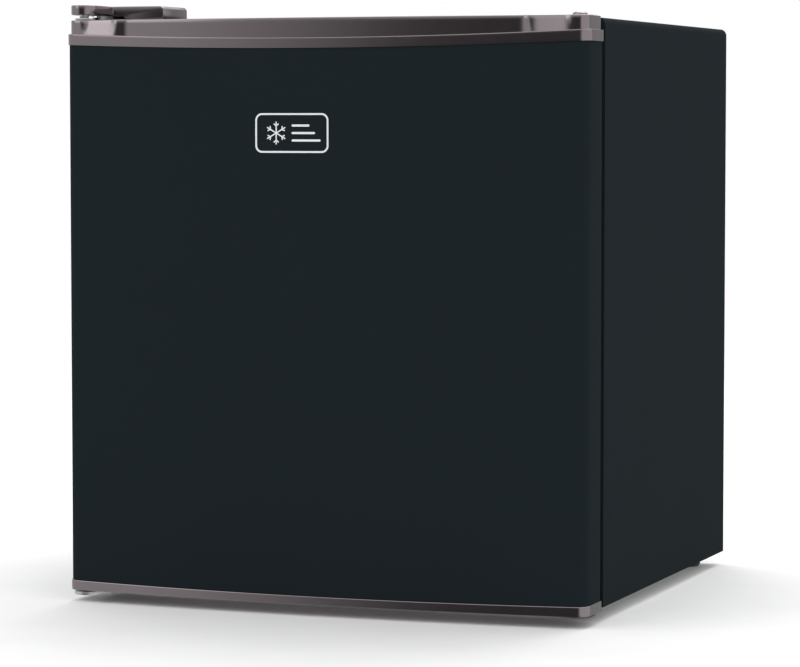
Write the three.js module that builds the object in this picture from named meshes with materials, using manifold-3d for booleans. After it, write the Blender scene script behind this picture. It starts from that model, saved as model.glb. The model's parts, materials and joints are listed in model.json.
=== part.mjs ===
// Compact refrigerator: a steel-wrapped, foam-filled cabinet with a bowed left-hung door.
// Millimetres, +Z up, the front faces -Y, origin on the floor under the middle of the outline.
import * as THREE from 'three';
import { mergeVertices } from 'three/addons/utils/BufferGeometryUtils.js';
import Module from 'manifold-3d';

const wasm = await Module();
wasm.setup();

// ---- Overall sizes ---------------------------------------------------------------------
const WIDTH = 470;                // across the proud lips of the door caps
const DEPTH = 445;                // crown of the door's lip to the back panel
const CABINET_TOP = 500;
const CABINET_UNDERSIDE = 12;
const CLEARANCE = 0.3;            // between pieces that touch
const SHEET = 0.8;                // painted steel
const PLATE = 3;                  // hinge and foot brackets

// ---- Door ------------------------------------------------------------------------------
const DOOR_THICKNESS = 52;        // crown of the lip to the door's back
const DOOR_UNDERSIDE = 10;
const DOOR_RISE = 1;              // door top above cabinet top
const DOOR_BOW = 12;              // how far the crown stands ahead of the corners
const DOOR_CORNER = 10;           // radius of the vertical front corners
const LIP_PROUD = 1;              // cap lips ahead of the steel skin
const CAP_WALL = 2.5;
const CAP_PLATE = 2.5;
const BAND_SETBACK = 1.5;         // band above the lip, behind the skin's surface
const LIP_EDGE_HEIGHT = 9.5;      // lip at the corners
const LIP_MIDDLE_HEIGHT = 8.8;
const BAND_EDGE_HEIGHT = 11.5;    // band above the lip, at the corners
const BAND_SAG = 5.2;             // how much lower the band's foot hangs in the middle
const GRIP_END = 51;              // from the door's side to the finger grip
const GRIP_DEPTH = 3;
const BOTTOM_CAP_HEIGHT = 8.7;
const BOTTOM_CAP_SAG = 1.5;
const SKIN_INTO_CAP = 4.5;        // the skin's edge behind the lip, at the corners
const LIP_ROOF = 1.6;             // plastic left above the skin's edge
const SKIN_RETURN = 18;           // steel folded in behind the door
const GASKET_THICKNESS = 8;
const GASKET_WIDTH = 18;
const GASKET_INSET = 13;          // from the cabinet's sides and top to the gasket
const GASKET_LOW_INSET = 9;       // from the cabinet's underside to the gasket
const DOOR_LINER_DROP = 25;       // door liner's top edge below the cabinet's top
const MAGNET_WIDTH = 8;
const MAGNET_THICKNESS = 3.5;
const BADGE_WIDTH = 66;
const BADGE_HEIGHT = 33;
const BADGE_RADIUS = 6;
const BADGE_LEFT = 20;            // badge centre, left of the middle
const BADGE_DROP = 95;            // badge centre below the cabinet top
const BADGE_THICKNESS = 0.6;

// ---- Hinge -----------------------------------------------------------------------------
const PIN_INSET = 11;             // pin axis from the cabinet's side
const PIN_BEHIND_CROWN = 26;      // pin axis behind the crown of the lip
const PIN_RADIUS = 4;
const BUSH_WALL = 2.7;
const BUSH_DEPTH = 15;
const BOSS_WALL = 3;
const ARM_RADIUS = 11;            // round end of the hinge arm
const BRACKET_INSET = 5;          // from the cabinet's side
const BRACKET_LENGTH = 62;
const LOWER_BRACKET_LENGTH = 79;
const TOP_SCREW_SHIFTS = [38, 54];          // from the bracket's outer end
const LOWER_SCREW_SHIFTS = [40, 65];
const BRACKET_DEPTH = 42;
const BRACKET_SETBACK = 4;        // behind the cabinet's front
const ARM_RISE = 5.8;             // arm above the bracket's foot
const COVER_INSET = 2;            // from the cabinet's side
const COVER_HEIGHT = 14;
const COVER_LENGTH = 68;
const COVER_DEPTH = 50;
const COVER_WALL = 1.5;
const COVER_CORNER = 3;
const NOTCH_LENGTH = 28;          // opening in the cover's front that the bracket leaves by
const NOTCH_HEIGHT = 5.2;
const HINGE_SCREW_RADIUS = 2.5;
const HINGE_SCREW_HEAD = 5;
const HINGE_SCREW_HEAD_HEIGHT = 2.6;
const HINGE_SCREW_LENGTH = 9;
const WASHER_RADIUS = 8;
const WASHER_THICKNESS = 1.2;
const WASHER_LIFT = 0.8;          // above the door's top, on the bush
const PLUG_RADIUS = 6;
const PLUG_STEM = 2.4;            // of the small plug in the cabinet's top
const PLUG_INSET_X = 17;          // that plug from the cabinet's side
const PLUG_INSET_Y = 20.5;        // and from its front

// ---- Cabinet insulation and liner ------------------------------------------------------
const SIDE_WALL = 37;             // outer surface to cavity
const TOP_WALL = 38;
const BOTTOM_WALL = 40;
const BACK_WALL = 42.5;
const STEP_WALL = 33;             // over and in front of the compressor bay
const LINER = 1.5;
const LINER_CORNER = 12;
const FRAME_WIDTH = 25;           // painted steel border around the cavity
const FRAME_LOW_WIDTH = 28;       // the same border under the cavity
const FRAME_CORNER = 6;
const BAY_DEPTH = 160.5;
const BAY_HEIGHT = 165;
const LEDGE_WIDTH = 6;
const LEDGE_HEIGHT = 4;
const LEDGE_ABOVE_STEP = 8;
const LEDGE_PITCH = 67;
const LEDGE_FRONT = 62;           // behind the cabinet's front

// ---- Freezer box -----------------------------------------------------------------------
const FREEZER_WIDTH = 210;
const FREEZER_HEIGHT = 105;
const FREEZER_SIDE_GAP = 7;
const FREEZER_TOP_GAP = 7;
const FREEZER_BACK_GAP = 5;
const FREEZER_SETBACK = 122.5;    // behind the cabinet's front
const FREEZER_SHEET = 1.5;
const FRAME_BAR = 8;
const FRAME_DEPTH = 18;
const FLAP_THICKNESS = 6;
const FLAP_GAP = 2;
const FLAP_PIN_RADIUS = 2.5;
const FLAP_PIN_LENGTH = 5;
const FLAP_AXIS_DROP = 5;         // axis below the frame's opening
const TRAY_DROP = 10;             // tray rim below the freezer box
const TRAY_DEPTH = 18;
const TRAY_WALL = 2;
const TRAY_RIM = 5;
const RUNNER_WALL = 1.5;

// ---- Shelf, thermostat -----------------------------------------------------------------
const GLASS_THICKNESS = 4;
const GLASS_SIDE_GAP = 2;
const GLASS_BACK_GAP = 8;
const GLASS_FRONT = 67.5;         // behind the cabinet's front
const TRIM_DEPTH = 8;
const TRIM_WALL = 3;
const THERMOSTAT_WIDTH = 67;
const THERMOSTAT_HEIGHT = 58;
const THERMOSTAT_DEPTH = 80;
const THERMOSTAT_SETBACK = 42.5;
const THERMOSTAT_WALL = 2;
const KNOB_RADIUS = 18;
const KNOB_LENGTH = 14;
const SHAFT_RADIUS = 3;
const CONTROL_SIZE = 32;

// ---- Door furniture --------------------------------------------------------------------
const DOOR_LINER = 1.5;
const DYKE_INSET = 54;            // door side to the dyke's outer face
const DYKE_WIDTH = 15;
const DYKE_UPPER_DEPTH = 22;
const DYKE_LOWER_DEPTH = 38;
const DYKE_FOOT = 50;             // above the cabinet's underside
const DYKE_HEAD = 45;             // below the cabinet's top
const DYKE_SLOPE = 14;
const BIN_WALL = 2;
const UPPER_BIN_HEIGHT = 45;
const UPPER_BIN_DEPTH = 45;
const UPPER_BIN_ABOVE_SHELF = 20;
const LOWER_BIN_HEIGHT = 90;
const LOWER_BIN_DEPTH = 60;
const LOWER_BIN_FLOOR = 63;       // above the cabinet's underside

// ---- Machine compartment ---------------------------------------------------------------
const SHELL_RADIUS = 52;
const SHELL_HEIGHT = 116;
const SHELL_X = -70;
const SEAM_PROUD = 1.5;           // weld seam ahead of the shell
const MOUNT_PLATE = 2.5;
const MOUNT_HALF_LENGTH = 72;
const MOUNT_HALF_WIDTH = 46;
const GROMMET_RADIUS = 9;
const GROMMET_HEIGHT = 11;
const GROMMET_INSET = 11;
const RELAY_WIDTH = 52;
const RELAY_HEIGHT = 60;
const RELAY_DEPTH = 30;
const RELAY_WALL = 2;
const RELAY_RISE = 30;            // above the shell's foot
const MACHINE_PLATE = 1.5;
const TUBE_RADIUS = 3;
const COIL_RADIUS = 2.4;
const COIL_RUNS = 4;
const COIL_PITCH = 56;
const DRIER_RADIUS = 9;
const DRIER_LENGTH = 100;
const DRIER_X = 62;
const GLAND_X = 120;
const GLAND_HOLE = 4;
const GLAND_RADIUS = 9;
const GLAND_GROOVE = 1.5;
const GLAND_LIP = 2.5;            // outside the tab
const GLAND_SLEEVE = 7;           // inside the tab
const GLAND_TAB = 40;
const GLAND_SETBACK = 6;          // the tab's outer face ahead of the back panel

// ---- Feet ------------------------------------------------------------------------------
const FOOT_INSET_X = 29;          // from the cabinet's side
const FOOT_INSET_Y = 24;          // from the cabinet's front
const FOOT_PAD_RADIUS = 14;
const FOOT_PAD_HEIGHT = 7.5;
const STUD_RADIUS = 4;
const STUD_LENGTH = 24;
const REAR_FOOT_RADIUS = 13;
const FOOT_PLATE_HALF = 22;       // half width of the right foot's plate
const FOOT_PLATE_FRONT = 15;      // and its reach ahead of and behind the stud
const FOOT_PLATE_BACK = 20;
const SOLE_CHAMFER = 1.5;
const PAD_NECK = 4;               // how far the pad narrows to its top

// ---- Places that follow ----------------------------------------------------------------
const HALF = WIDTH / 2 - LIP_PROUD;
const FRONT = -DEPTH / 2;
const BACK = DEPTH / 2;
const CROWN = FRONT + LIP_PROUD;
const DOOR_BACK = FRONT + DOOR_THICKNESS;
const DOOR_TOP = CABINET_TOP + DOOR_RISE;
const CABINET_FRONT = DOOR_BACK + GASKET_THICKNESS;
const BOW_RADIUS = (HALF ** 2 + DOOR_BOW ** 2) / (2 * DOOR_BOW);
const BOW_CENTRE_Y = CROWN + BOW_RADIUS;
const PIN_X = -(HALF - PIN_INSET);
const PIN_Y = FRONT + PIN_BEHIND_CROWN;
const CAVITY_HALF = HALF - SIDE_WALL;
const CAVITY_TOP = CABINET_TOP - TOP_WALL;
const CAVITY_FLOOR = CABINET_UNDERSIDE + BOTTOM_WALL;
const CAVITY_BACK = BACK - BACK_WALL;
const BAY_TOP = CABINET_UNDERSIDE + BAY_HEIGHT;
const BAY_FRONT = BACK - BAY_DEPTH;
const STEP_TOP = BAY_TOP + STEP_WALL;
const STEP_FRONT = BAY_FRONT - STEP_WALL;
const INNER_HALF = HALF - SHEET - CLEARANCE;
const LEDGE_TOP = STEP_TOP + LEDGE_ABOVE_STEP + LEDGE_HEIGHT;
const FREEZER_LEFT = -CAVITY_HALF + FREEZER_SIDE_GAP;
const FREEZER_RIGHT = FREEZER_LEFT + FREEZER_WIDTH;
const FREEZER_TOP = CAVITY_TOP - FREEZER_TOP_GAP;
const FREEZER_FLOOR = FREEZER_TOP - FREEZER_HEIGHT;
const FREEZER_FRONT = CABINET_FRONT + FREEZER_SETBACK;
const FREEZER_BACK = CAVITY_BACK - FREEZER_BACK_GAP;
const FOOT_X = HALF - FOOT_INSET_X;
const FOOT_Y = CABINET_FRONT + FOOT_INSET_Y;
const UNDER_PLATE = CABINET_UNDERSIDE - CLEARANCE;
const LOWER_BRACKET = UNDER_PLATE - PLATE;
const MACHINE_FLOOR = CABINET_UNDERSIDE + MACHINE_PLATE;
const SHELL_Y = (BAY_FRONT + BACK) / 2;
const OPENING_HALF = HALF - FRAME_WIDTH;
const GLASS_FLOOR = LEDGE_TOP + CLEARANCE;
const BUSH_RADIUS = PIN_RADIUS + CLEARANCE + BUSH_WALL;
const BOSS_RADIUS = BUSH_RADIUS + CLEARANCE + BOSS_WALL;

// ---- Finishes --------------------------------------------------------------------------
const finish = (color, roughness, metalness) => ({ color, roughness, metalness });
const PAINTED_BLACK = finish(0x23292b, 0.45, 0.1);
const METALLIC_TRIM = finish(0x8a8284, 0.3, 0.7);
const WHITE_LINER = finish(0xeef0ee, 0.4, 0);
const FOAM = finish(0xe8d9a0, 0.9, 0);
const BARE_STEEL = finish(0x9a9da0, 0.4, 0.9);
const ALUMINIUM = finish(0xc9ccd0, 0.35, 0.8);
const COPPER = finish(0xb87333, 0.3, 0.9);
const SHELL_BLACK = finish(0x161616, 0.3, 0.3);
const RUBBER = finish(0x1c1c1c, 0.8, 0);
const GASKET_GREY = finish(0xbfc3c4, 0.6, 0);
const MAGNET = finish(0x3a3230, 0.8, 0);
const NYLON = finish(0xf2f2ec, 0.5, 0);
const CLEAR_GLASS = finish(0xcfe8e0, 0.05, 0);
const CLEAR_BIN = finish(0xe6eef2, 0.2, 0);
const BLACK_PLASTIC = finish(0x202224, 0.5, 0);
const BADGE_SILVER = finish(0xe4e6e8, 0.3, 0.6);

// ---- Solids ----------------------------------------------------------------------------
const TURN_TO_Y = new THREE.Matrix4().makeRotationX(Math.PI / 2);
const TURN_TO_X = new THREE.Matrix4().set(0, 0, 1, 0, 1, 0, 0, 0, 0, 1, 0, 0, 0, 0, 0, 1);

function solid(geometry) {
  const bare = geometry.clone();
  bare.deleteAttribute('normal');
  bare.deleteAttribute('uv');
  const merged = mergeVertices(bare, 1e-4);
  return new wasm.Manifold(new wasm.Mesh({
    numProp: 3,
    vertProperties: new Float32Array(merged.attributes.position.array),
    triVerts: new Uint32Array(merged.index.array),
  }));
}

function surface(manifold) {
  const mesh = manifold.getMesh();
  const geometry = new THREE.BufferGeometry();
  geometry.setAttribute('position', new THREE.BufferAttribute(mesh.vertProperties, 3));
  geometry.setIndex(new THREE.BufferAttribute(mesh.triVerts, 1));
  geometry.computeVertexNormals();
  return geometry;
}

const join = (first, ...rest) => rest.reduce((sum, piece) => sum.add(piece), first);
const cut = (first, ...rest) => rest.reduce((sum, piece) => sum.subtract(piece), first);

// A box from its lowest to its highest corner.
function block(x0, x1, y0, y1, z0, z1) {
  const geometry = new THREE.BoxGeometry(x1 - x0, y1 - y0, z1 - z0);
  geometry.translate((x0 + x1) / 2, (y0 + y1) / 2, (z0 + z1) / 2);
  return solid(geometry);
}

const polygon = (points) => new THREE.Shape(points.map(([a, b]) => new THREE.Vector2(a, b)));

function extruded(shape, from, to, segments = 4) {
  const geometry = new THREE.ExtrudeGeometry(shape, {
    depth: to - from, bevelEnabled: false, curveSegments: segments, steps: 1,
  });
  geometry.translate(0, 0, from);
  return geometry;
}

// A plan (x, y) raised from z0 to z1.
const raised = (shape, z0, z1, segments) => solid(extruded(shape, z0, z1, segments));

// A front view (x, z) carried from y0 to y1.
function carriedAlongY(shape, y0, y1, segments) {
  return solid(extruded(shape, -y1, -y0, segments).applyMatrix4(TURN_TO_Y));
}

// A side view (y, z) carried from x0 to x1.
function carriedAlongX(shape, x0, x1, segments) {
  return solid(extruded(shape, x0, x1, segments).applyMatrix4(TURN_TO_X));
}

function roundedRect(x0, x1, y0, y1, radius) {
  const shape = new THREE.Shape();
  shape.moveTo(x0 + radius, y0);
  shape.lineTo(x1 - radius, y0);
  shape.absarc(x1 - radius, y0 + radius, radius, -Math.PI / 2, 0);
  shape.lineTo(x1, y1 - radius);
  shape.absarc(x1 - radius, y1 - radius, radius, 0, Math.PI / 2);
  shape.lineTo(x0 + radius, y1);
  shape.absarc(x0 + radius, y1 - radius, radius, Math.PI / 2, Math.PI);
  shape.lineTo(x0, y0 + radius);
  shape.absarc(x0 + radius, y0 + radius, radius, Math.PI, Math.PI * 1.5);
  return shape;
}

// A turned piece from its [radius, height] profile, which starts and ends on the axis.
function turned(profile, x, y, z = 0, segments = 20) {
  const points = profile.map(([r, h]) => new THREE.Vector2(r, h));
  const geometry = new THREE.LatheGeometry(points, segments);
  geometry.rotateX(Math.PI / 2);
  geometry.translate(x, y, z);
  return solid(geometry);
}

const rod = (radius, x, y, z0, z1, segments = 20) =>
  turned([[0, z0], [radius, z0], [radius, z1], [0, z1]], x, y, 0, segments);

const ring = (inner, outer, x, y, z0, z1, segments = 20) => {
  const profile = [[inner, z0], [outer, z0], [outer, z1], [inner, z1], [inner, z0]];
  return turned(profile, x, y, 0, segments);
};

// A rod along X or Y: made upright, then laid over.
function rodAlong(axis, radius, from, to, u, v, segments = 16) {
  const geometry = new THREE.CylinderGeometry(radius, radius, to - from, segments);
  if (axis === 'x') {
    geometry.rotateZ(-Math.PI / 2);
    geometry.translate((from + to) / 2, u, v);
  } else {
    geometry.translate(u, (from + to) / 2, v);
  }
  return solid(geometry);
}

// A round tube through a few points, with soft bends.
function tube(points, radius, steps, sides = 8) {
  const path = new THREE.CatmullRomCurve3(
    points.map(([x, y, z]) => new THREE.Vector3(x, y, z)), false, 'catmullrom', 0.3);
  const section = new THREE.Shape();
  section.absarc(0, 0, radius, 0, Math.PI * 2);
  return solid(new THREE.ExtrudeGeometry(section, {
    steps, curveSegments: sides / 2, bevelEnabled: false, extrudePath: path,
  }));
}

// ---- Door outline ----------------------------------------------------------------------
// Plan of the door, moved inwards by inset: flat back, straight sides, round corners, bow.
function doorPlan(inset, back = DOOR_BACK) {
  const side = HALF - inset;
  const centreX = HALF - DOOR_CORNER;
  const reach = BOW_RADIUS - DOOR_CORNER;
  const centreY = BOW_CENTRE_Y - Math.sqrt(reach ** 2 - centreX ** 2);
  const half = Math.asin(centreX / reach);
  const shape = new THREE.Shape();
  shape.moveTo(side, back);
  shape.lineTo(-side, back);
  shape.lineTo(-side, centreY);
  shape.absarc(-centreX, centreY, DOOR_CORNER - inset, Math.PI, Math.PI * 1.5 - half);
  const bowSteps = 12;
  for (let i = 1; i < bowSteps; i += 1) {
    const angle = -half + (2 * half * i) / bowSteps;
    const radius = BOW_RADIUS - inset;
    shape.lineTo(radius * Math.sin(angle), BOW_CENTRE_Y - radius * Math.cos(angle));
  }
  shape.absarc(centreX, centreY, DOOR_CORNER - inset, Math.PI * 1.5 + half, Math.PI * 2);
  return shape;
}

// A closed strip between two heights that sag like a smile across the door's width.
function smileStrip(lowEdge, lowMiddle, highEdge, highMiddle) {
  const steps = 12;
  const reach = HALF + LIP_PROUD + 1;
  const height = (edge, middle, x) => middle + (edge - middle) * (x / reach) ** 2;
  const points = [];
  for (let i = 0; i <= steps; i += 1) {
    const x = -reach + (2 * reach * i) / steps;
    points.push([x, height(lowEdge, lowMiddle, x)]);
  }
  for (let i = steps; i >= 0; i -= 1) {
    const x = -reach + (2 * reach * i) / steps;
    points.push([x, height(highEdge, highMiddle, x)]);
  }
  return polygon(points);
}

const CREASE_EDGE = DOOR_TOP - BAND_EDGE_HEIGHT;
const CREASE_MIDDLE = CREASE_EDGE - BAND_SAG;
const LIP_FOOT_EDGE = CREASE_EDGE - LIP_EDGE_HEIGHT;
const LIP_FOOT_MIDDLE = CREASE_MIDDLE - LIP_MIDDLE_HEIGHT;
const SKIN_TOP = Math.min(LIP_FOOT_EDGE + SKIN_INTO_CAP, CREASE_MIDDLE - LIP_ROOF);
const SKIN_BOTTOM = DOOR_UNDERSIDE + CAP_PLATE + CLEARANCE;
const HOLLOW_INSET = BAND_SETBACK + GRIP_DEPTH + CAP_WALL;
const HOLLOW_BACK = DOOR_BACK - SHEET - CLEARANCE - CAP_WALL;
const SEAT_TOP = DOOR_TOP - BUSH_DEPTH;

// The groove in a cap that the skin's edge stands in.
function skinGroove(z0, z1) {
  const outside = raised(doorPlan(-CLEARANCE, DOOR_BACK + 1), z0, z1);
  const inside = raised(doorPlan(SHEET + CLEARANCE, DOOR_BACK - SHEET - CLEARANCE), z0, z1);
  return outside.subtract(inside);
}

function doorSkin() {
  const outside = raised(doorPlan(0), SKIN_BOTTOM, SKIN_TOP);
  const inside = raised(doorPlan(SHEET, DOOR_BACK - SHEET), SKIN_BOTTOM - 1, SKIN_TOP + 1);
  const openBack = HALF - SKIN_RETURN;
  const window = block(-openBack, openBack, DOOR_BACK - 5, DOOR_BACK + 5,
    SKIN_BOTTOM - 1, SKIN_TOP + 1);
  return cut(outside, inside, window);
}

function doorTopCap() {
  const lipStrip = smileStrip(LIP_FOOT_EDGE, LIP_FOOT_MIDDLE, CREASE_EDGE, CREASE_MIDDLE);
  const lipPlan = raised(doorPlan(-LIP_PROUD), LIP_FOOT_MIDDLE - 1, DOOR_TOP);
  const lip = lipPlan.intersect(carriedAlongY(lipStrip, FRONT - 5, DOOR_BACK + 5));
  const band = raised(doorPlan(BAND_SETBACK), SKIN_TOP, DOOR_TOP);
  const gripHalf = HALF - GRIP_END;
  const gripFloor = CREASE_MIDDLE + 1;
  const grip = block(-gripHalf, gripHalf, FRONT - 5, DOOR_BACK - 20, gripFloor, DOOR_TOP + 1)
    .subtract(raised(doorPlan(BAND_SETBACK + GRIP_DEPTH), gripFloor - 1, DOOR_TOP + 2))
    .subtract(carriedAlongY(
      smileStrip(LIP_FOOT_EDGE, LIP_FOOT_MIDDLE, CREASE_EDGE, CREASE_MIDDLE),
      FRONT - 6, DOOR_BACK));
  const hollow = raised(doorPlan(HOLLOW_INSET, HOLLOW_BACK),
    LIP_FOOT_MIDDLE - 2, DOOR_TOP - CAP_PLATE);
  const bosses = [PIN_X, -PIN_X].map((x) => rod(BOSS_RADIUS, x, PIN_Y, SEAT_TOP - CAP_PLATE,
    DOOR_TOP - 1));
  const seats = [PIN_X, -PIN_X].map((x) => rod(BUSH_RADIUS + CLEARANCE, x, PIN_Y,
    SEAT_TOP - CAP_PLATE - 1, DOOR_TOP + 1));
  const shell = cut(join(lip, band), grip, hollow);
  const trimmed = join(shell, ...bosses.map((boss) => boss.intersect(
    raised(doorPlan(HOLLOW_INSET - 0.5), 0, DOOR_TOP + 5))));
  return cut(trimmed, ...seats, skinGroove(LIP_FOOT_MIDDLE - 3, SKIN_TOP + CLEARANCE));
}

function doorBottomCap() {
  const top = DOOR_UNDERSIDE + BOTTOM_CAP_HEIGHT;
  const strip = smileStrip(DOOR_UNDERSIDE, DOOR_UNDERSIDE, top, top - BOTTOM_CAP_SAG);
  const solidCap = raised(doorPlan(-LIP_PROUD), DOOR_UNDERSIDE, top + 1)
    .intersect(carriedAlongY(strip, FRONT - 5, DOOR_BACK + 5));
  const hollow = raised(doorPlan(HOLLOW_INSET, HOLLOW_BACK),
    DOOR_UNDERSIDE + CAP_PLATE, top + 5);
  const bossTop = DOOR_UNDERSIDE + BUSH_DEPTH;
  const seats = [PIN_X, -PIN_X].map((x) => rod(BUSH_RADIUS + CLEARANCE, x, PIN_Y,
    DOOR_UNDERSIDE - 1, bossTop + 1));
  const bosses = [PIN_X, -PIN_X].map((x) => rod(BOSS_RADIUS, x, PIN_Y, DOOR_UNDERSIDE + 1,
    bossTop).intersect(raised(doorPlan(HOLLOW_INSET - 0.5), 0, bossTop + 5)));
  return cut(join(cut(solidCap, hollow), ...bosses), ...seats,
    skinGroove(SKIN_BOTTOM - CLEARANCE, top + 10));
}

// Side view of a dyke, the ridge inside the door that the bins hang between.
function dykeProfile(inset) {
  const foot = CABINET_UNDERSIDE + DYKE_FOOT + inset;
  const head = CABINET_TOP - DYKE_HEAD - inset;
  const waist = GLASS_FLOOR + UPPER_BIN_ABOVE_SHELF + UPPER_BIN_HEIGHT + 10 - inset;
  const lower = DOOR_BACK + DYKE_LOWER_DEPTH - inset;
  const upper = DOOR_BACK + DYKE_UPPER_DEPTH - inset;
  const base = DOOR_BACK - DOOR_LINER;
  return polygon([
    [base, foot], [DOOR_BACK, foot], [lower, foot + DYKE_SLOPE], [lower, waist],
    [upper, waist + DYKE_SLOPE], [upper, head - DYKE_SLOPE], [DOOR_BACK, head], [base, head],
  ]);
}

function dykes(inset) {
  const outer = HALF - DYKE_INSET;
  const inner = outer - DYKE_WIDTH;
  return [1, -1].map((side) => {
    const near = side * inner + side * inset;
    const far = side * outer - side * inset;
    return carriedAlongX(dykeProfile(inset), Math.min(near, far), Math.max(near, far));
  });
}

const DOOR_LINER_HALF = HALF - SKIN_RETURN - CLEARANCE;
const DOOR_LINER_TOP = CABINET_TOP - DOOR_LINER_DROP;
const DOOR_LINER_FOOT = CABINET_UNDERSIDE + GASKET_INSET;

function doorLiner() {
  const panel = block(-DOOR_LINER_HALF, DOOR_LINER_HALF, DOOR_BACK - DOOR_LINER, DOOR_BACK,
    DOOR_LINER_FOOT, DOOR_LINER_TOP);
  const hollows = dykes(DOOR_LINER).map((piece) => piece.translate(0, -1, 0));
  return cut(join(panel, ...dykes(0)), ...hollows);
}

function doorFoam() {
  const low = DOOR_UNDERSIDE + BOTTOM_CAP_HEIGHT + CAP_PLATE;
  const high = LIP_FOOT_MIDDLE - 2;
  const back = DOOR_BACK - DOOR_LINER - CLEARANCE;
  const main = raised(doorPlan(SHEET + CLEARANCE, back), low, high);
  const neck = raised(doorPlan(HOLLOW_INSET + CLEARANCE, HOLLOW_BACK - CLEARANCE), high - 1,
    DOOR_TOP - CAP_PLATE - CLEARANCE);
  const bosses = [PIN_X, -PIN_X].flatMap((x) => [
    rod(BOSS_RADIUS + CLEARANCE, x, PIN_Y, SEAT_TOP - CAP_PLATE - CLEARANCE, DOOR_TOP),
    rod(BOSS_RADIUS + CLEARANCE, x, PIN_Y, low - 1, DOOR_UNDERSIDE + BUSH_DEPTH + 5),
  ]);
  return cut(join(main, neck), ...bosses);
}

// A picture frame standing in the XZ plane.
function uprightFrame(half, z0, z1, width, y0, y1, corner) {
  const outer = roundedRect(-half, half, z0, z1, corner);
  const inner = roundedRect(-half + width, half - width, z0 + width, z1 - width, corner / 2);
  return carriedAlongY(outer, y0, y1, 2)
    .subtract(carriedAlongY(inner, y0 - 1, y1 + 1, 2));
}

const GASKET_HALF = HALF - GASKET_INSET;
const GASKET_FOOT = CABINET_UNDERSIDE + GASKET_LOW_INSET;
const GASKET_TOP = CABINET_TOP - GASKET_INSET;
const MAGNET_INSET = (GASKET_WIDTH - MAGNET_WIDTH) / 2;

function doorGasket() {
  const seal = uprightFrame(GASKET_HALF, GASKET_FOOT, GASKET_TOP, GASKET_WIDTH,
    DOOR_BACK + CLEARANCE, CABINET_FRONT - CLEARANCE, 4);
  const inset = MAGNET_INSET - CLEARANCE;
  const channel = uprightFrame(GASKET_HALF - inset, GASKET_FOOT + inset, GASKET_TOP - inset,
    MAGNET_WIDTH + 2 * CLEARANCE, DOOR_BACK - 1,
    DOOR_BACK + 2 * CLEARANCE + MAGNET_THICKNESS + CLEARANCE, 2);
  return seal.subtract(channel);
}

const gasketMagnet = () => uprightFrame(GASKET_HALF - MAGNET_INSET, GASKET_FOOT + MAGNET_INSET,
  GASKET_TOP - MAGNET_INSET, MAGNET_WIDTH, DOOR_BACK + 2 * CLEARANCE,
  DOOR_BACK + 2 * CLEARANCE + MAGNET_THICKNESS, 2);

const topBush = () => ring(PIN_RADIUS + CLEARANCE, BUSH_RADIUS, PIN_X, PIN_Y, SEAT_TOP,
  DOOR_TOP + 0.5);

const bottomBush = () => ring(PIN_RADIUS + CLEARANCE, BUSH_RADIUS, PIN_X, PIN_Y,
  DOOR_UNDERSIDE, DOOR_UNDERSIDE + BUSH_DEPTH);

// The unused hinge hole on the right, closed with a push-in plug.
const doorCapPlug = () => join(
  rod(BUSH_RADIUS, -PIN_X, PIN_Y, SEAT_TOP + 5, DOOR_TOP + 0.4),
  turned([[0, 0], [PLUG_RADIUS, 0], [PLUG_RADIUS, 1.2], [PLUG_RADIUS - 1.5, 2.2], [0, 2.4]],
    -PIN_X, PIN_Y, DOOR_TOP + CLEARANCE));

function doorBin(floor, height, depth) {
  const half = HALF - DYKE_INSET - DYKE_WIDTH - CLEARANCE;
  const near = DOOR_BACK + CLEARANCE;
  const far = DOOR_BACK + depth;
  const body = block(-half, half, near, far, floor, floor + height);
  const inside = block(-half + BIN_WALL, half - BIN_WALL, near + BIN_WALL, far - BIN_WALL,
    floor + BIN_WALL, floor + height + 1);
  return body.subtract(inside);
}

const upperDoorBin = () =>
  doorBin(GLASS_FLOOR + UPPER_BIN_ABOVE_SHELF, UPPER_BIN_HEIGHT, UPPER_BIN_DEPTH);
const lowerDoorBin = () =>
  doorBin(CABINET_UNDERSIDE + LOWER_BIN_FLOOR, LOWER_BIN_HEIGHT, LOWER_BIN_DEPTH);

// A thin rounded plate that follows the bowed skin.
function badge() {
  const z = CABINET_TOP - BADGE_DROP;
  const outline = roundedRect(-BADGE_LEFT - BADGE_WIDTH / 2, -BADGE_LEFT + BADGE_WIDTH / 2,
    z - BADGE_HEIGHT / 2, z + BADGE_HEIGHT / 2, BADGE_RADIUS);
  const shell = raised(doorPlan(-CLEARANCE / 3 - BADGE_THICKNESS), z - BADGE_HEIGHT,
    z + BADGE_HEIGHT).subtract(raised(doorPlan(-CLEARANCE / 3), z - 40, z + 40));
  return shell.intersect(carriedAlongY(outline, FRONT - 5, DOOR_BACK - 20, 4));
}

// ---- Cabinet ---------------------------------------------------------------------------
function cabinetWrapper() {
  const outer = carriedAlongY(wrapperSection(0), CABINET_FRONT, BACK, 3);
  const inner = carriedAlongY(wrapperSection(SHEET), CABINET_FRONT + SHEET, BACK + 1, 3);
  const frameHole = carriedAlongY(
    roundedRect(-OPENING_HALF, OPENING_HALF, CABINET_UNDERSIDE + FRAME_LOW_WIDTH,
      CABINET_TOP - FRAME_WIDTH, LINER_CORNER + LINER), CABINET_FRONT - 1, CABINET_FRONT + 2, 3);
  const screws = topScrewPlaces().map(([x, y]) => rod(HINGE_SCREW_RADIUS + CLEARANCE, x, y,
    CABINET_TOP - 2, CABINET_TOP + 1, 12));
  const plug = rod(PLUG_STEM + CLEARANCE, CABINET_PLUG_X, CABINET_PLUG_Y, CABINET_TOP - 2,
    CABINET_TOP + 1, 12);
  return cut(outer, inner, frameHole, plug, ...screws);
}

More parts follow.
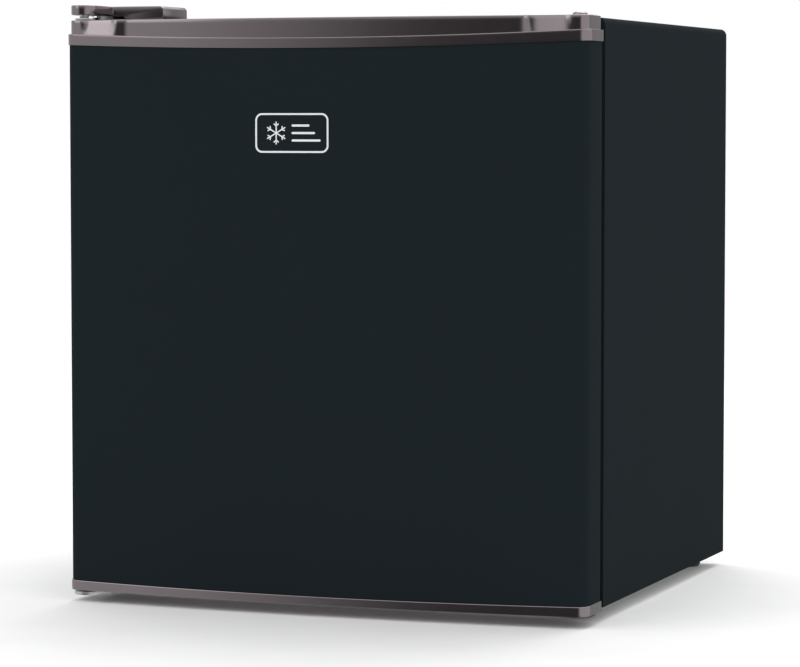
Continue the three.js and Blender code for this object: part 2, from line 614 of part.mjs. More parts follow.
// The wrapper's cross-section: two sides and a top, rounded where they meet.
function wrapperSection(inset) {
  const side = HALF - inset;
  const top = CABINET_TOP - inset;
  const foot = inset > 0 ? CABINET_UNDERSIDE - 1 : CABINET_UNDERSIDE;
  const radius = FRAME_CORNER - inset;
  const shape = new THREE.Shape();
  shape.moveTo(-side, foot);
  shape.lineTo(side, foot);
  shape.lineTo(side, top - radius);
  shape.absarc(side - radius, top - radius, radius, 0, Math.PI / 2);
  shape.lineTo(-side + radius, top);
  shape.absarc(-side + radius, top - radius, radius, Math.PI / 2, Math.PI);
  return shape;
}

// Side view of the cavity, moved outwards by grow: open to the front, stepped at the back.
function cavityProfile(grow, front) {
  const back = CAVITY_BACK + grow;
  return polygon([
    [front, CAVITY_FLOOR - grow], [STEP_FRONT + grow, CAVITY_FLOOR - grow],
    [STEP_FRONT + grow, STEP_TOP - grow], [back, STEP_TOP - grow],
    [back, CAVITY_TOP + grow], [front, CAVITY_TOP + grow],
  ]);
}

function cavity(grow, front) {
  const half = CAVITY_HALF + grow;
  const section = roundedRect(-half, half, CAVITY_FLOOR - grow, CAVITY_TOP + grow,
    LINER_CORNER + grow);
  return carriedAlongX(cavityProfile(grow, front), -half, half)
    .intersect(carriedAlongY(section, front, BACK, 3));
}

function innerLiner() {
  const half = OPENING_HALF - CLEARANCE;
  const rim = carriedAlongY(
    roundedRect(-half, half, CABINET_UNDERSIDE + FRAME_LOW_WIDTH + CLEARANCE,
      CABINET_TOP - FRAME_WIDTH - CLEARANCE, LINER_CORNER + LINER - CLEARANCE),
    CABINET_FRONT, CABINET_FRONT + LINER, 3);
  const shell = join(cavity(LINER, CABINET_FRONT), rim)
    .subtract(cavity(0, CABINET_FRONT - 2));
  const front = CABINET_FRONT + LEDGE_FRONT;
  const ledges = [0, LEDGE_PITCH].flatMap((rise) => [1, -1].map((side) => {
    const wall = side * (CAVITY_HALF + LINER / 2);
    const edge = side * (CAVITY_HALF - LEDGE_WIDTH);
    return block(Math.min(wall, edge), Math.max(wall, edge), front, CAVITY_BACK - LINER_CORNER,
      LEDGE_TOP - LEDGE_HEIGHT + rise, LEDGE_TOP + rise);
  }));
  const lineHole = rodAlong('y', TUBE_RADIUS + 1, CAVITY_BACK - 5, CAVITY_BACK + 5, LINE_X,
    LINE_TOP, 12);
  return cut(join(shell, ...ledges), lineHole);
}

function cabinetFoam() {
  const half = INNER_HALF;
  const front = CABINET_FRONT + SHEET + CLEARANCE;
  const top = CABINET_TOP - SHEET - CLEARANCE;
  const body = carriedAlongY(roundedRect(-half, half, CABINET_UNDERSIDE + SHEET + CLEARANCE, top,
    FRAME_CORNER), front, BACK - SHEET - CLEARANCE, 3);
  const rimRoom = block(-OPENING_HALF, OPENING_HALF, front - 1,
    CABINET_FRONT + LINER + CLEARANCE, CAVITY_FLOOR - BOTTOM_WALL + FRAME_WIDTH,
    CABINET_TOP - FRAME_WIDTH + 1);
  const bay = block(-HALF, HALF, BAY_FRONT - SHEET - 2 * CLEARANCE, BACK + 1,
    CABINET_UNDERSIDE - 1, BAY_TOP + SHEET + 2 * CLEARANCE);
  const coilRoom = block(INNER_HALF - 3 * COIL_RADIUS, INNER_HALF + 1,
    COIL_FRONT - COIL_PITCH / 2 - 6, COIL_RISER + 8, BAY_TOP - 1, COIL_TOP + 8);
  const lineRoom = [
    rod(TUBE_RADIUS + 2, LINE_X, LINE_Y, BAY_TOP - 1, LINE_TOP + 6, 12),
    block(LINE_X - 6, LINE_X + 6, CAVITY_BACK - 5, LINE_Y + 5, LINE_TOP - 20, LINE_TOP + 6),
    rod(3, DRIER_X, DRIER_Y, BAY_TOP - 1, BAY_TOP + LINE_ENTRY + 3, 12),
  ];
  const studRoom = [1, -1].map((side) => rod(STUD_RADIUS + 2, side * FOOT_X, FOOT_Y,
    CABINET_UNDERSIDE - 1, LOWER_BRACKET + STUD_LENGTH + 4, 12));
  const screwRoom = [
    ...topScrewPlaces().map(([x, y]) => rod(HINGE_SCREW_RADIUS + 1, x, y, CABINET_TOP - 14,
      CABINET_TOP + 1, 8)),
    ...lowerScrewPlaces().map(([x, y]) => rod(HINGE_SCREW_RADIUS + 1, x, y, 0,
      CABINET_UNDERSIDE + 14, 8)),
  ];
  return cut(body, cavity(LINER + CLEARANCE, front - 1), rimRoom, bay, coilRoom,
    plugRoom(), ...lineRoom, ...studRoom, ...screwRoom);
}

const plugRoom = () => rod(4, CABINET_PLUG_X, CABINET_PLUG_Y, CABINET_TOP - 8,
  CABINET_TOP + 1, 8);

// The back sheet, rounded at the top to sit inside the wrapper's two folds.
function backPanel() {
  const foot = BAY_TOP + SHEET + 2 * CLEARANCE;
  const plate = roundedRect(-INNER_HALF, INNER_HALF, foot - 2 * FRAME_CORNER,
    CABINET_TOP - SHEET - CLEARANCE, FRAME_CORNER);
  const belowFoot = block(-HALF, HALF, BACK - 2, BACK + 1, foot - 3 * FRAME_CORNER, foot);
  return cut(carriedAlongY(plate, BACK - SHEET, BACK, 3), belowFoot);
}

// The folded sheet that roofs and fronts the machine bay.
function bayPanel() {
  const roof = BAY_TOP + SHEET;
  const wall = BAY_FRONT - SHEET;
  const section = polygon([
    [wall, CABINET_UNDERSIDE], [BAY_FRONT, CABINET_UNDERSIDE], [BAY_FRONT, BAY_TOP],
    [BACK, BAY_TOP], [BACK, roof], [wall, roof],
  ]);
  const coilHole = block(INNER_HALF - 4 * COIL_RADIUS, INNER_HALF + 1,
    COIL_RETURN - 2 * COIL_RADIUS, COIL_RISER + 2 * COIL_RADIUS, BAY_TOP - 2, roof + 1);
  const suctionHole = rod(TUBE_RADIUS + 1.5, LINE_X, LINE_Y, BAY_TOP - 2, roof + 1, 12);
  const capillaryHole = rod(3, DRIER_X, DRIER_Y, BAY_TOP - 2, roof + 1, 12);
  return cut(carriedAlongX(section, -INNER_HALF, INNER_HALF), coilHole, suctionHole,
    capillaryHole);
}

function basePanel() {
  const panel = block(-INNER_HALF, INNER_HALF, CABINET_FRONT + SHEET + CLEARANCE,
    BAY_FRONT - SHEET - CLEARANCE, CABINET_UNDERSIDE, CABINET_UNDERSIDE + SHEET);
  const holes = [1, -1].map((side) => rod(STUD_RADIUS + 1, side * FOOT_X, FOOT_Y,
    CABINET_UNDERSIDE - 1, CABINET_UNDERSIDE + 2, 12));
  const screws = lowerScrewPlaces().map(([x, y]) => rod(HINGE_SCREW_RADIUS + CLEARANCE, x, y,
    CABINET_UNDERSIDE - 1, CABINET_UNDERSIDE + 2, 12));
  return cut(panel, ...holes, ...screws);
}

// ---- Hinges and feet -------------------------------------------------------------------
const BRACKET_LEFT = -HALF + BRACKET_INSET;
const BRACKET_FRONT = CABINET_FRONT + BRACKET_SETBACK;
const COVER_FOOT = CABINET_TOP + CLEARANCE;
const COVER_TOP = CABINET_TOP + COVER_HEIGHT;
const ARM_FLOOR = COVER_FOOT + ARM_RISE;
const CABINET_PLUG_X = HALF - PLUG_INSET_X;
const CABINET_PLUG_Y = CABINET_FRONT + PLUG_INSET_Y;

function screwPlaces(shifts) {
  const y = BRACKET_FRONT + BRACKET_DEPTH / 2;
  return shifts.map((shift) => [BRACKET_LEFT + shift, y]);
}

const topScrewPlaces = () => screwPlaces(TOP_SCREW_SHIFTS);
const lowerScrewPlaces = () => screwPlaces(LOWER_SCREW_SHIFTS);

// Plan of the arm that carries the pin: straight back to the bracket, round at the tip.
function armPlan(radius, back) {
  const shape = new THREE.Shape();
  shape.moveTo(PIN_X + radius, back);
  shape.lineTo(PIN_X - radius, back);
  shape.lineTo(PIN_X - radius, PIN_Y);
  shape.absarc(PIN_X, PIN_Y, radius, Math.PI, Math.PI * 2);
  return shape;
}

function topHingeBracket() {
  const radius = ARM_RADIUS - COVER_WALL - CLEARANCE;
  const foot = block(BRACKET_LEFT, BRACKET_LEFT + BRACKET_LENGTH, BRACKET_FRONT,
    BRACKET_FRONT + BRACKET_DEPTH, COVER_FOOT, COVER_FOOT + PLATE);
  const riser = block(PIN_X - radius + 4, PIN_X + radius, BRACKET_FRONT, BRACKET_FRONT + PLATE,
    COVER_FOOT, ARM_FLOOR + PLATE);
  const arm = raised(armPlan(radius, BRACKET_FRONT + PLATE), ARM_FLOOR, ARM_FLOOR + PLATE);
  const edge = block(-HALF - 5, BRACKET_LEFT, BRACKET_FRONT - 1, BRACKET_FRONT + 10, 0, 600);
  const pin = rod(PIN_RADIUS, PIN_X, PIN_Y, SEAT_TOP + 1, ARM_FLOOR + 1);
  const holes = topScrewPlaces().map(([x, y]) => rod(HINGE_SCREW_RADIUS + CLEARANCE, x, y,
    COVER_FOOT - 1, COVER_FOOT + PLATE + 1, 12));
  return cut(join(foot, riser, arm.subtract(edge), pin), ...holes);
}

function topHingeCover() {
  const left = -HALF + COVER_INSET;
  const right = left + COVER_LENGTH;
  const shape = (grow, foot, top) => {
    const x0 = left + grow;
    const x1 = right - grow;
    const outline = new THREE.Shape();
    outline.moveTo(x0, foot);
    outline.lineTo(x1, foot);
    outline.lineTo(x1, top - COVER_CORNER);
    outline.absarc(x1 - COVER_CORNER, top - COVER_CORNER, COVER_CORNER, 0, Math.PI / 2);
    outline.lineTo(x0, top);
    return outline;
  };
  const body = carriedAlongY(shape(0, COVER_FOOT, COVER_TOP), CABINET_FRONT,
    CABINET_FRONT + COVER_DEPTH, 3);
  const arm = raised(armPlan(ARM_RADIUS, CABINET_FRONT + 5), ARM_FLOOR - CLEARANCE, COVER_TOP);
  const room = carriedAlongY(shape(COVER_WALL, COVER_FOOT - 1, COVER_TOP - COVER_WALL),
    CABINET_FRONT + COVER_WALL, CABINET_FRONT + COVER_DEPTH - COVER_WALL, 3);
  const armRoom = raised(armPlan(ARM_RADIUS - COVER_WALL, CABINET_FRONT + 10),
    ARM_FLOOR - CLEARANCE - 1, COVER_TOP - COVER_WALL);
  const notch = block(BRACKET_LEFT, BRACKET_LEFT + NOTCH_LENGTH, CABINET_FRONT - 1,
    CABINET_FRONT + COVER_WALL + 1, COVER_FOOT - 1, COVER_FOOT + NOTCH_HEIGHT);
  return cut(join(body, arm), room, armRoom, notch);
}

// A pan-head screw, head up by default; a negative direction points the head down.
function hingeScrew(x, y, seat, direction) {
  const top = HINGE_SCREW_HEAD_HEIGHT;
  const piece = turned([[0, -HINGE_SCREW_LENGTH], [HINGE_SCREW_RADIUS, -HINGE_SCREW_LENGTH],
    [HINGE_SCREW_RADIUS, CLEARANCE], [HINGE_SCREW_HEAD, CLEARANCE], [HINGE_SCREW_HEAD, top - 1],
    [HINGE_SCREW_HEAD - 1.6, top], [0, top]], 0, 0, 0, 12);
  const upright = direction > 0 ? piece : piece.rotate([180, 0, 0]);
  return upright.translate(x, y, seat);
}

const hingeWasher = () => ring(PIN_RADIUS + CLEARANCE, WASHER_RADIUS, PIN_X, PIN_Y,
  DOOR_TOP + WASHER_LIFT, DOOR_TOP + WASHER_LIFT + WASHER_THICKNESS);

const cabinetTopPlug = () => join(
  rod(PLUG_STEM, CABINET_PLUG_X, CABINET_PLUG_Y, CABINET_TOP - 6, CABINET_TOP + 1, 12),
  turned([[0, 0], [4, 0], [4, 1.2], [2.6, 2.6], [0, 2.8]], CABINET_PLUG_X, CABINET_PLUG_Y,
    CABINET_TOP + CLEARANCE, 12));

const ARM_DROP = 3.5;

function lowerHingeBracket() {
  const armTop = LOWER_BRACKET + PLATE - ARM_DROP;
  const foot = block(BRACKET_LEFT, BRACKET_LEFT + LOWER_BRACKET_LENGTH, BRACKET_FRONT,
    BRACKET_FRONT + BRACKET_DEPTH, LOWER_BRACKET, UNDER_PLATE);
  const riser = block(BRACKET_LEFT, PIN_X + ARM_RADIUS, BRACKET_FRONT, BRACKET_FRONT + PLATE,
    armTop - PLATE, UNDER_PLATE);
  const arm = raised(armPlan(ARM_RADIUS, BRACKET_FRONT + PLATE), armTop - PLATE, armTop);
  const edge = block(-HALF - 5, BRACKET_LEFT, BRACKET_FRONT - 1, BRACKET_FRONT + 10, 0, 600);
  const pin = rod(PIN_RADIUS, PIN_X, PIN_Y, armTop - 1, DOOR_UNDERSIDE + BUSH_DEPTH - 1);
  const studHole = rod(STUD_RADIUS + CLEARANCE, -FOOT_X, FOOT_Y, 0, CABINET_UNDERSIDE, 16);
  const holes = lowerScrewPlaces().map(([x, y]) => rod(HINGE_SCREW_RADIUS + CLEARANCE, x, y,
    LOWER_BRACKET - 1, UNDER_PLATE + 1, 12));
  return cut(join(foot, riser, arm.subtract(edge), pin), studHole, ...holes);
}

function rightFootBracket() {
  const plate = block(FOOT_X - FOOT_PLATE_HALF, FOOT_X + FOOT_PLATE_HALF,
    FOOT_Y - FOOT_PLATE_FRONT, FOOT_Y + FOOT_PLATE_BACK, LOWER_BRACKET, UNDER_PLATE);
  return plate.subtract(rod(STUD_RADIUS + CLEARANCE, FOOT_X, FOOT_Y, 0, CABINET_UNDERSIDE, 16));
}

const footStud = (side) => rod(STUD_RADIUS, side * FOOT_X, FOOT_Y, FOOT_PAD_HEIGHT + CLEARANCE,
  FOOT_PAD_HEIGHT + CLEARANCE + STUD_LENGTH, 16);

// Six-sided pad with a chamfered sole, turned by hand or spanner.
function footPad(side) {
  const profile = [[0, 0], [FOOT_PAD_RADIUS - SOLE_CHAMFER, 0], [FOOT_PAD_RADIUS, SOLE_CHAMFER],
    [FOOT_PAD_RADIUS, FOOT_PAD_HEIGHT - PAD_NECK / 2],
    [FOOT_PAD_RADIUS - PAD_NECK, FOOT_PAD_HEIGHT],
    [0, FOOT_PAD_HEIGHT]];
  return turned(profile, side * FOOT_X, FOOT_Y, 0, 12);
}

function rearFoot(side) {
  const y = BACK - FOOT_INSET_Y;
  return turned([[0, 0], [REAR_FOOT_RADIUS - 2, 0], [REAR_FOOT_RADIUS, 2],
    [REAR_FOOT_RADIUS - 2, UNDER_PLATE], [0, UNDER_PLATE]], side * FOOT_X, y, 0, 16);
}

// ---- Machine compartment ---------------------------------------------------------------
const MOUNT_FLOOR = MACHINE_FLOOR + CLEARANCE + GROMMET_HEIGHT + CLEARANCE;
const SHELL_FLOOR = MOUNT_FLOOR + MOUNT_PLATE - 0.5;
const SHELL_TOP = SHELL_FLOOR + SHELL_HEIGHT;
const LINE_X = SHELL_X - 30;
const LINE_Y = (CAVITY_BACK + LINER + BACK) / 2;
const LINE_TOP = FREEZER_FLOOR + FREEZER_HEIGHT / 2;
const LINE_ENTRY = 10;            // how far the capillary enters the foam
const DRIER_Y = BACK - 32;
const DRIER_FLOOR = MACHINE_FLOOR + 40;
const COIL_X = INNER_HALF - COIL_RADIUS - CLEARANCE;
const COIL_TURN = 12;
const COIL_RISER = BACK - 30;
const COIL_BACK = COIL_RISER - COIL_PITCH / 2 - COIL_TURN - 4;
const COIL_FRONT = CABINET_FRONT + COIL_PITCH;
const COIL_RETURN = COIL_BACK + COIL_TURN;
const COIL_FOOT = BAY_TOP - 45;
const COIL_TOP = CABINET_TOP - 70;

function compressorPlate() {
  const floor = block(-INNER_HALF, INNER_HALF, BAY_FRONT + CLEARANCE, BACK, CABINET_UNDERSIDE,
    MACHINE_FLOOR);
  const tabBack = BACK - GLAND_SETBACK;
  const tab = block(GLAND_X - GLAND_TAB / 2, GLAND_X + GLAND_TAB / 2, tabBack - MACHINE_PLATE,
    tabBack, CABINET_UNDERSIDE, MACHINE_FLOOR + GLAND_TAB);
  const hole = rodAlong('y', GLAND_RADIUS - GLAND_GROOVE + CLEARANCE, tabBack - 5, tabBack + 5,
    GLAND_X, MACHINE_FLOOR + GLAND_TAB / 2);
  return cut(join(floor, tab), hole);
}

function compressor() {
  const r = SHELL_RADIUS;
  const seam = SHELL_HEIGHT * 0.45;
  const shell = turned([[0, 0], [r * 0.55, 0], [r * 0.86, 8], [r - 1, 24], [r - 1, seam - 3],
    [r + SEAM_PROUD, seam - 2], [r + SEAM_PROUD, seam + 2], [r - 1, seam + 3],
    [r - 1, SHELL_HEIGHT - 34], [r * 0.9, SHELL_HEIGHT - 18], [r * 0.66, SHELL_HEIGHT - 6],
    [r * 0.3, SHELL_HEIGHT], [0, SHELL_HEIGHT]], SHELL_X, SHELL_Y, SHELL_FLOOR, 24);
  const plate = raised(roundedRect(SHELL_X - MOUNT_HALF_LENGTH, SHELL_X + MOUNT_HALF_LENGTH,
    SHELL_Y - MOUNT_HALF_WIDTH, SHELL_Y + MOUNT_HALF_WIDTH, 12), MOUNT_FLOOR,
    MOUNT_FLOOR + MOUNT_PLATE, 3);
  const stub = rod(TUBE_RADIUS, SHELL_X + 20, SHELL_Y - 15, SHELL_TOP - 14, SHELL_TOP + 12, 12);
  return join(shell, plate, stub);
}

function grommetPlaces() {
  const x = MOUNT_HALF_LENGTH - GROMMET_INSET;
  const y = MOUNT_HALF_WIDTH - GROMMET_INSET;
  return [[-x, -y], [x, -y], [x, y], [-x, y]].map(([u, v]) => [SHELL_X + u, SHELL_Y + v]);
}

function compressorGrommet([x, y]) {
  const z = MACHINE_FLOOR + CLEARANCE;
  const r = GROMMET_RADIUS;
  const h = GROMMET_HEIGHT;
  return turned([[3, 0], [r, 0], [r, 3.5], [r - 2, 4.5], [r - 2, 6.5], [r, 7.5], [r, h], [3, h],
    [3, 0]], x, y, z, 16);
}

// The cap over the start relay and overload, clipped to the compressor's right side.
function relayCover() {
  const x0 = SHELL_X + SHELL_RADIUS + SEAM_PROUD + CLEARANCE;
  const z0 = SHELL_FLOOR + RELAY_RISE;
  const half = RELAY_WIDTH / 2;
  const outer = block(x0, x0 + RELAY_DEPTH, SHELL_Y - half, SHELL_Y + half, z0,
    z0 + RELAY_HEIGHT);
  const inner = block(x0 - 1, x0 + RELAY_DEPTH - RELAY_WALL, SHELL_Y - half + RELAY_WALL,
    SHELL_Y + half - RELAY_WALL, z0 + RELAY_WALL, z0 + RELAY_HEIGHT - RELAY_WALL);
  return outer.subtract(inner);
}

// The drier, with the liquid line brazed to its foot and the thin capillary to its top.
function filterDrier() {
  const r = DRIER_RADIUS;
  const length = DRIER_LENGTH;
  const tip = BAY_TOP - DRIER_FLOOR + LINE_ENTRY;
  const body = turned([[0, 0], [3, 0], [3, 10], [r, 18], [r, length - 16], [1.5, length - 6],
    [1.5, tip], [0, tip]], DRIER_X, DRIER_Y, DRIER_FLOOR, 16);
  const line = tube([[DRIER_X, DRIER_Y, DRIER_FLOOR + 1], [DRIER_X + 2, DRIER_Y, DRIER_FLOOR - 10],
    [DRIER_X + 20, DRIER_Y - 4, DRIER_FLOOR - 18], [COIL_X - 40, COIL_RETURN, COIL_FOOT - 80],
    [COIL_X - 5, COIL_RETURN, COIL_FOOT - 45], [COIL_X - 1, COIL_RETURN, COIL_FOOT - 20],
    [COIL_X, COIL_RETURN, COIL_FOOT - CLEARANCE]],
  COIL_RADIUS, 18, 6);
  return join(body, line);
}

// A place on the compressor's shell, given by its radius and its angle from +X.
const byShell = (radius, degrees, z) => [
  SHELL_X + radius * Math.cos(degrees * Math.PI / 180),
  SHELL_Y + radius * Math.sin(degrees * Math.PI / 180), z];

// The return line: up the back of the cabinet inside the foam, then into the freezer box.
function suctionTube() {
  const port = SHELL_RADIUS - 1 + CLEARANCE;
  const z = SHELL_FLOOR + 80;
  return tube([byShell(port, 155, z), byShell(port + 14, 155, z + 2),
    [LINE_X, LINE_Y, BAY_TOP - 25], [LINE_X, LINE_Y, BAY_TOP + 20], [LINE_X, LINE_Y, LINE_TOP - 40],
    [LINE_X, LINE_Y, LINE_TOP - 12], [LINE_X, LINE_Y - 8, LINE_TOP],
    [LINE_X, FREEZER_BACK + CLEARANCE, LINE_TOP]], TUBE_RADIUS, 28, 6);
}

function dischargeTube() {
  const port = SHELL_RADIUS - 1 + CLEARANCE;
  const z = SHELL_FLOOR + 72;
  return tube([byShell(port + 0.4, 60, z), byShell(port + 14, 60, z + 1),
    [SHELL_X + 96, SHELL_Y + 42, z + 4], [DRIER_X + 80, SHELL_Y + 18, z],
    [COIL_X - 26, COIL_RISER - 4, COIL_FOOT - 30], [COIL_X - 2, COIL_RISER, COIL_FOOT - 14],
    [COIL_X, COIL_RISER, COIL_FOOT - CLEARANCE]], COIL_RADIUS, 20, 6);
}

// Half a turn of pipe in the wall's plane, from a run at z to the run below it.
function coilBend(y, z, side) {
  const radius = COIL_PITCH / 2;
  return [0.25, 0.5, 0.75].map((share) => {
    const angle = share * Math.PI;
    return [COIL_X, y + side * radius * Math.sin(angle), z - radius + radius * Math.cos(angle)];
  });
}

// Serpentine pressed against the inside of the right wall, which sheds the heat. It rises from
// the machine bay at the back, runs to and fro, and comes down into the bay again.
function condenserCoil() {
  const points = [[COIL_X, COIL_RISER, COIL_FOOT], [COIL_X, COIL_RISER, COIL_TOP - COIL_TURN],
    [COIL_X, COIL_RISER - COIL_TURN, COIL_TOP]];
  for (let run = 0; run < COIL_RUNS; run += 1) {
    const z = COIL_TOP - run * COIL_PITCH;
    const forward = run % 2 === 0;
    const ends = forward ? [COIL_BACK, COIL_FRONT] : [COIL_FRONT, COIL_BACK];
    ends.forEach((y) => points.push([COIL_X, y, z]));
    if (run < COIL_RUNS - 1) points.push(...coilBend(ends[1], z, forward ? -1 : 1));
  }
  const last = COIL_TOP - (COIL_RUNS - 1) * COIL_PITCH;
  points.push([COIL_X, COIL_RETURN, last - COIL_TURN], [COIL_X, COIL_RETURN, COIL_FOOT]);
  return tube(points, COIL_RADIUS, 72, 6);
}

// A grooved rubber ring in the tab's hole, where the supply cord passes.
function cordGland() {
  const r = GLAND_RADIUS;
  const neck = r - GLAND_GROOVE;
  const half = MACHINE_PLATE / 2 + CLEARANCE;
  const sleeve = -half - GLAND_SLEEVE;
  const profile = [[GLAND_HOLE, sleeve], [r - 2, sleeve], [r, -half - 2], [r, -half],
    [neck, -half], [neck, half], [r, half], [r, half + GLAND_LIP],
    [GLAND_HOLE, half + GLAND_LIP], [GLAND_HOLE, sleeve]];
  const geometry = new THREE.LatheGeometry(profile.map(([a, b]) => new THREE.Vector2(a, b)), 16);
  geometry.translate(GLAND_X, BACK - GLAND_SETBACK - MACHINE_PLATE / 2,
    MACHINE_FLOOR + GLAND_TAB / 2);
  return solid(geometry);
}

// ---- Freezer box -----------------------------------------------------------------------
// Two bonded aluminium sheets bent into a box that is open at the front.
function evaporator() {
  const t = FREEZER_SHEET;
  const outer = roundedRect(FREEZER_LEFT, FREEZER_RIGHT, FREEZER_FLOOR, FREEZER_TOP, 10);
  const inner = roundedRect(FREEZER_LEFT + t, FREEZER_RIGHT - t, FREEZER_FLOOR + t,
    FREEZER_TOP - t, 10 - t);
  return carriedAlongY(outer, FREEZER_FRONT, FREEZER_BACK, 3)
    .subtract(carriedAlongY(inner, FREEZER_FRONT - 1, FREEZER_BACK - t, 3));
}

const FRAME_FRONT = FREEZER_FRONT - FRAME_DEPTH;
const HOLE_LEFT = FREEZER_LEFT + 4;
const HOLE_RIGHT = FREEZER_RIGHT - 4;
const HOLE_FLOOR = FREEZER_FLOOR + 4;
const HOLE_TOP = FREEZER_TOP - 4;
const FLAP_Y = FRAME_FRONT + 8;
const FLAP_Z = HOLE_TOP - FLAP_AXIS_DROP;
const FRAME_GROW = FRAME_BAR - 4;

function freezerFrame() {
  const back = FREEZER_FRONT - CLEARANCE;
  const outer = carriedAlongY(roundedRect(FREEZER_LEFT - FRAME_GROW,
    FREEZER_RIGHT + FRAME_GROW, FREEZER_FLOOR - FRAME_GROW, FREEZER_TOP + FRAME_GROW,
    LINER_CORNER / 2), FRAME_FRONT, back, 3);
  const hole = block(HOLE_LEFT, HOLE_RIGHT, FRAME_FRONT - 1, back + 1, HOLE_FLOOR, HOLE_TOP);
  const reach = FLAP_PIN_LENGTH + FLAP_GAP;
  const socket = rodAlong('x', FLAP_PIN_RADIUS + CLEARANCE, HOLE_LEFT - reach + 1,
    HOLE_RIGHT + reach - 1, FLAP_Y, FLAP_Z, 16);
  return cut(outer, hole, socket);
}

// The lid of the freezer box: a panel with a pull lip, on two stub pins at its top.
function freezerFlap() {
  const half = FLAP_THICKNESS / 2;
  const left = HOLE_LEFT + FLAP_GAP;
  const right = HOLE_RIGHT - FLAP_GAP;
  const panel = block(left, right, FLAP_Y - half, FLAP_Y + half, HOLE_FLOOR + FLAP_GAP,
    FLAP_Z + half);
  const dish = block(left + 10, right - 10, FLAP_Y - half - 1, FLAP_Y - half + 1.5,
    HOLE_FLOOR + 22, FLAP_Z - 10);
  const lip = block(left + 50, right - 50, FLAP_Y - half - 5, FLAP_Y - half + 1,
    HOLE_FLOOR + FLAP_GAP + 2, HOLE_FLOOR + FLAP_GAP + 7);
  const pins = rodAlong('x', FLAP_PIN_RADIUS, left - FLAP_PIN_LENGTH + 0.7,
    right + FLAP_PIN_LENGTH - 0.7, FLAP_Y, FLAP_Z, 12);
  return join(cut(panel, dish), lip, pins);
}

const TRAY_TOP = FREEZER_FLOOR - TRAY_DROP;
const TRAY_FRONT = FREEZER_FRONT - 5;
const TRAY_BACK = FREEZER_BACK - 15;
const TRAY_LEFT = FREEZER_LEFT + 2;
const TRAY_RIGHT = FREEZER_RIGHT - 2;

function dripTray() {
  const floor = TRAY_TOP - TRAY_DEPTH;
  const body = block(TRAY_LEFT, TRAY_RIGHT, TRAY_FRONT, TRAY_BACK, floor, TRAY_TOP);
  const rim = block(TRAY_LEFT - TRAY_RIM, TRAY_RIGHT + TRAY_RIM, TRAY_FRONT, TRAY_BACK,
    TRAY_TOP - 2, TRAY_TOP);
  const pull = block(TRAY_LEFT + 40, TRAY_RIGHT - 40, TRAY_FRONT - 7, TRAY_FRONT + 1,
    TRAY_TOP - 3, TRAY_TOP);
  const inside = block(TRAY_LEFT + TRAY_WALL, TRAY_RIGHT - TRAY_WALL, TRAY_FRONT + TRAY_WALL,
    TRAY_BACK - TRAY_WALL, floor + TRAY_WALL, TRAY_TOP + 1);
  return cut(join(body, rim, pull), inside);
}

// A folded channel under the freezer box that one rim of the tray slides in.
function trayRunner(side) {
  const rim = side > 0 ? TRAY_RIGHT + TRAY_RIM : TRAY_LEFT - TRAY_RIM;
  const at = (a, b) => [rim + side * a, rim + side * b].sort((p, q) => p - q);
  const gap = 2 * CLEARANCE;
  const top = FREEZER_FLOOR - CLEARANCE;
  const foot = TRAY_TOP - 2 - CLEARANCE;
  const wall = RUNNER_WALL;
  const [w0, w1] = at(gap, gap + wall);
  const [f0, f1] = at(-TRAY_RIM + 1.2, gap + wall);
  const [h0, h1] = at(-12, gap + wall);
  const y0 = FREEZER_FRONT + 2;
  const y1 = TRAY_BACK;
  return join(block(w0, w1, y0, y1, foot - wall, top), block(f0, f1, y0, y1, foot - wall, foot),
    block(h0, h1, y0, y1, top - wall, top));
}

function evaporatorHanger() {
  const middle = (FREEZER_LEFT + FREEZER_RIGHT) / 2;
  return block(middle - 60, middle + 60, FREEZER_FRONT + 25, FREEZER_FRONT + 165,
    FREEZER_TOP + CLEARANCE, CAVITY_TOP - CLEARANCE);
}

// ---- Shelf -----------------------------------------------------------------------------
const GLASS_HALF = CAVITY_HALF - GLASS_SIDE_GAP;
const GLASS_Y0 = CABINET_FRONT + GLASS_FRONT;
const GLASS_Y1 = CAVITY_BACK - GLASS_BACK_GAP;
const TRIM_HALF = CAVITY_HALF - LEDGE_WIDTH - 0.5;

const shelfGlass = () => block(-GLASS_HALF, GLASS_HALF, GLASS_Y0, GLASS_Y1, GLASS_FLOOR,
  GLASS_FLOOR + GLASS_THICKNESS);

// A channel pushed onto the glass's front edge.
function shelfTrim() {
  const bar = block(-TRIM_HALF, TRIM_HALF, GLASS_Y0 - TRIM_WALL, GLASS_Y0 - TRIM_WALL + TRIM_DEPTH,
    GLASS_FLOOR - TRIM_WALL, GLASS_FLOOR + GLASS_THICKNESS + TRIM_WALL);
  const slot = block(-HALF, HALF, GLASS_Y0 - CLEARANCE, GLASS_Y0 + TRIM_DEPTH,
    GLASS_FLOOR - CLEARANCE, GLASS_FLOOR + GLASS_THICKNESS + CLEARANCE);
  return bar.subtract(slot);
}

// ---- Thermostat ------------------------------------------------------------------------
const THERMO_RIGHT = CAVITY_HALF - CLEARANCE;
const THERMO_LEFT = THERMO_RIGHT - THERMOSTAT_WIDTH;
const THERMO_TOP = CAVITY_TOP - CLEARANCE;
const THERMO_FLOOR = THERMO_TOP - THERMOSTAT_HEIGHT;
const THERMO_FRONT = CABINET_FRONT + THERMOSTAT_SETBACK;
const THERMO_BACK = THERMO_FRONT + THERMOSTAT_DEPTH;
const KNOB_X = (THERMO_LEFT + THERMO_RIGHT) / 2;
const KNOB_Z = (THERMO_FLOOR + THERMO_TOP) / 2;

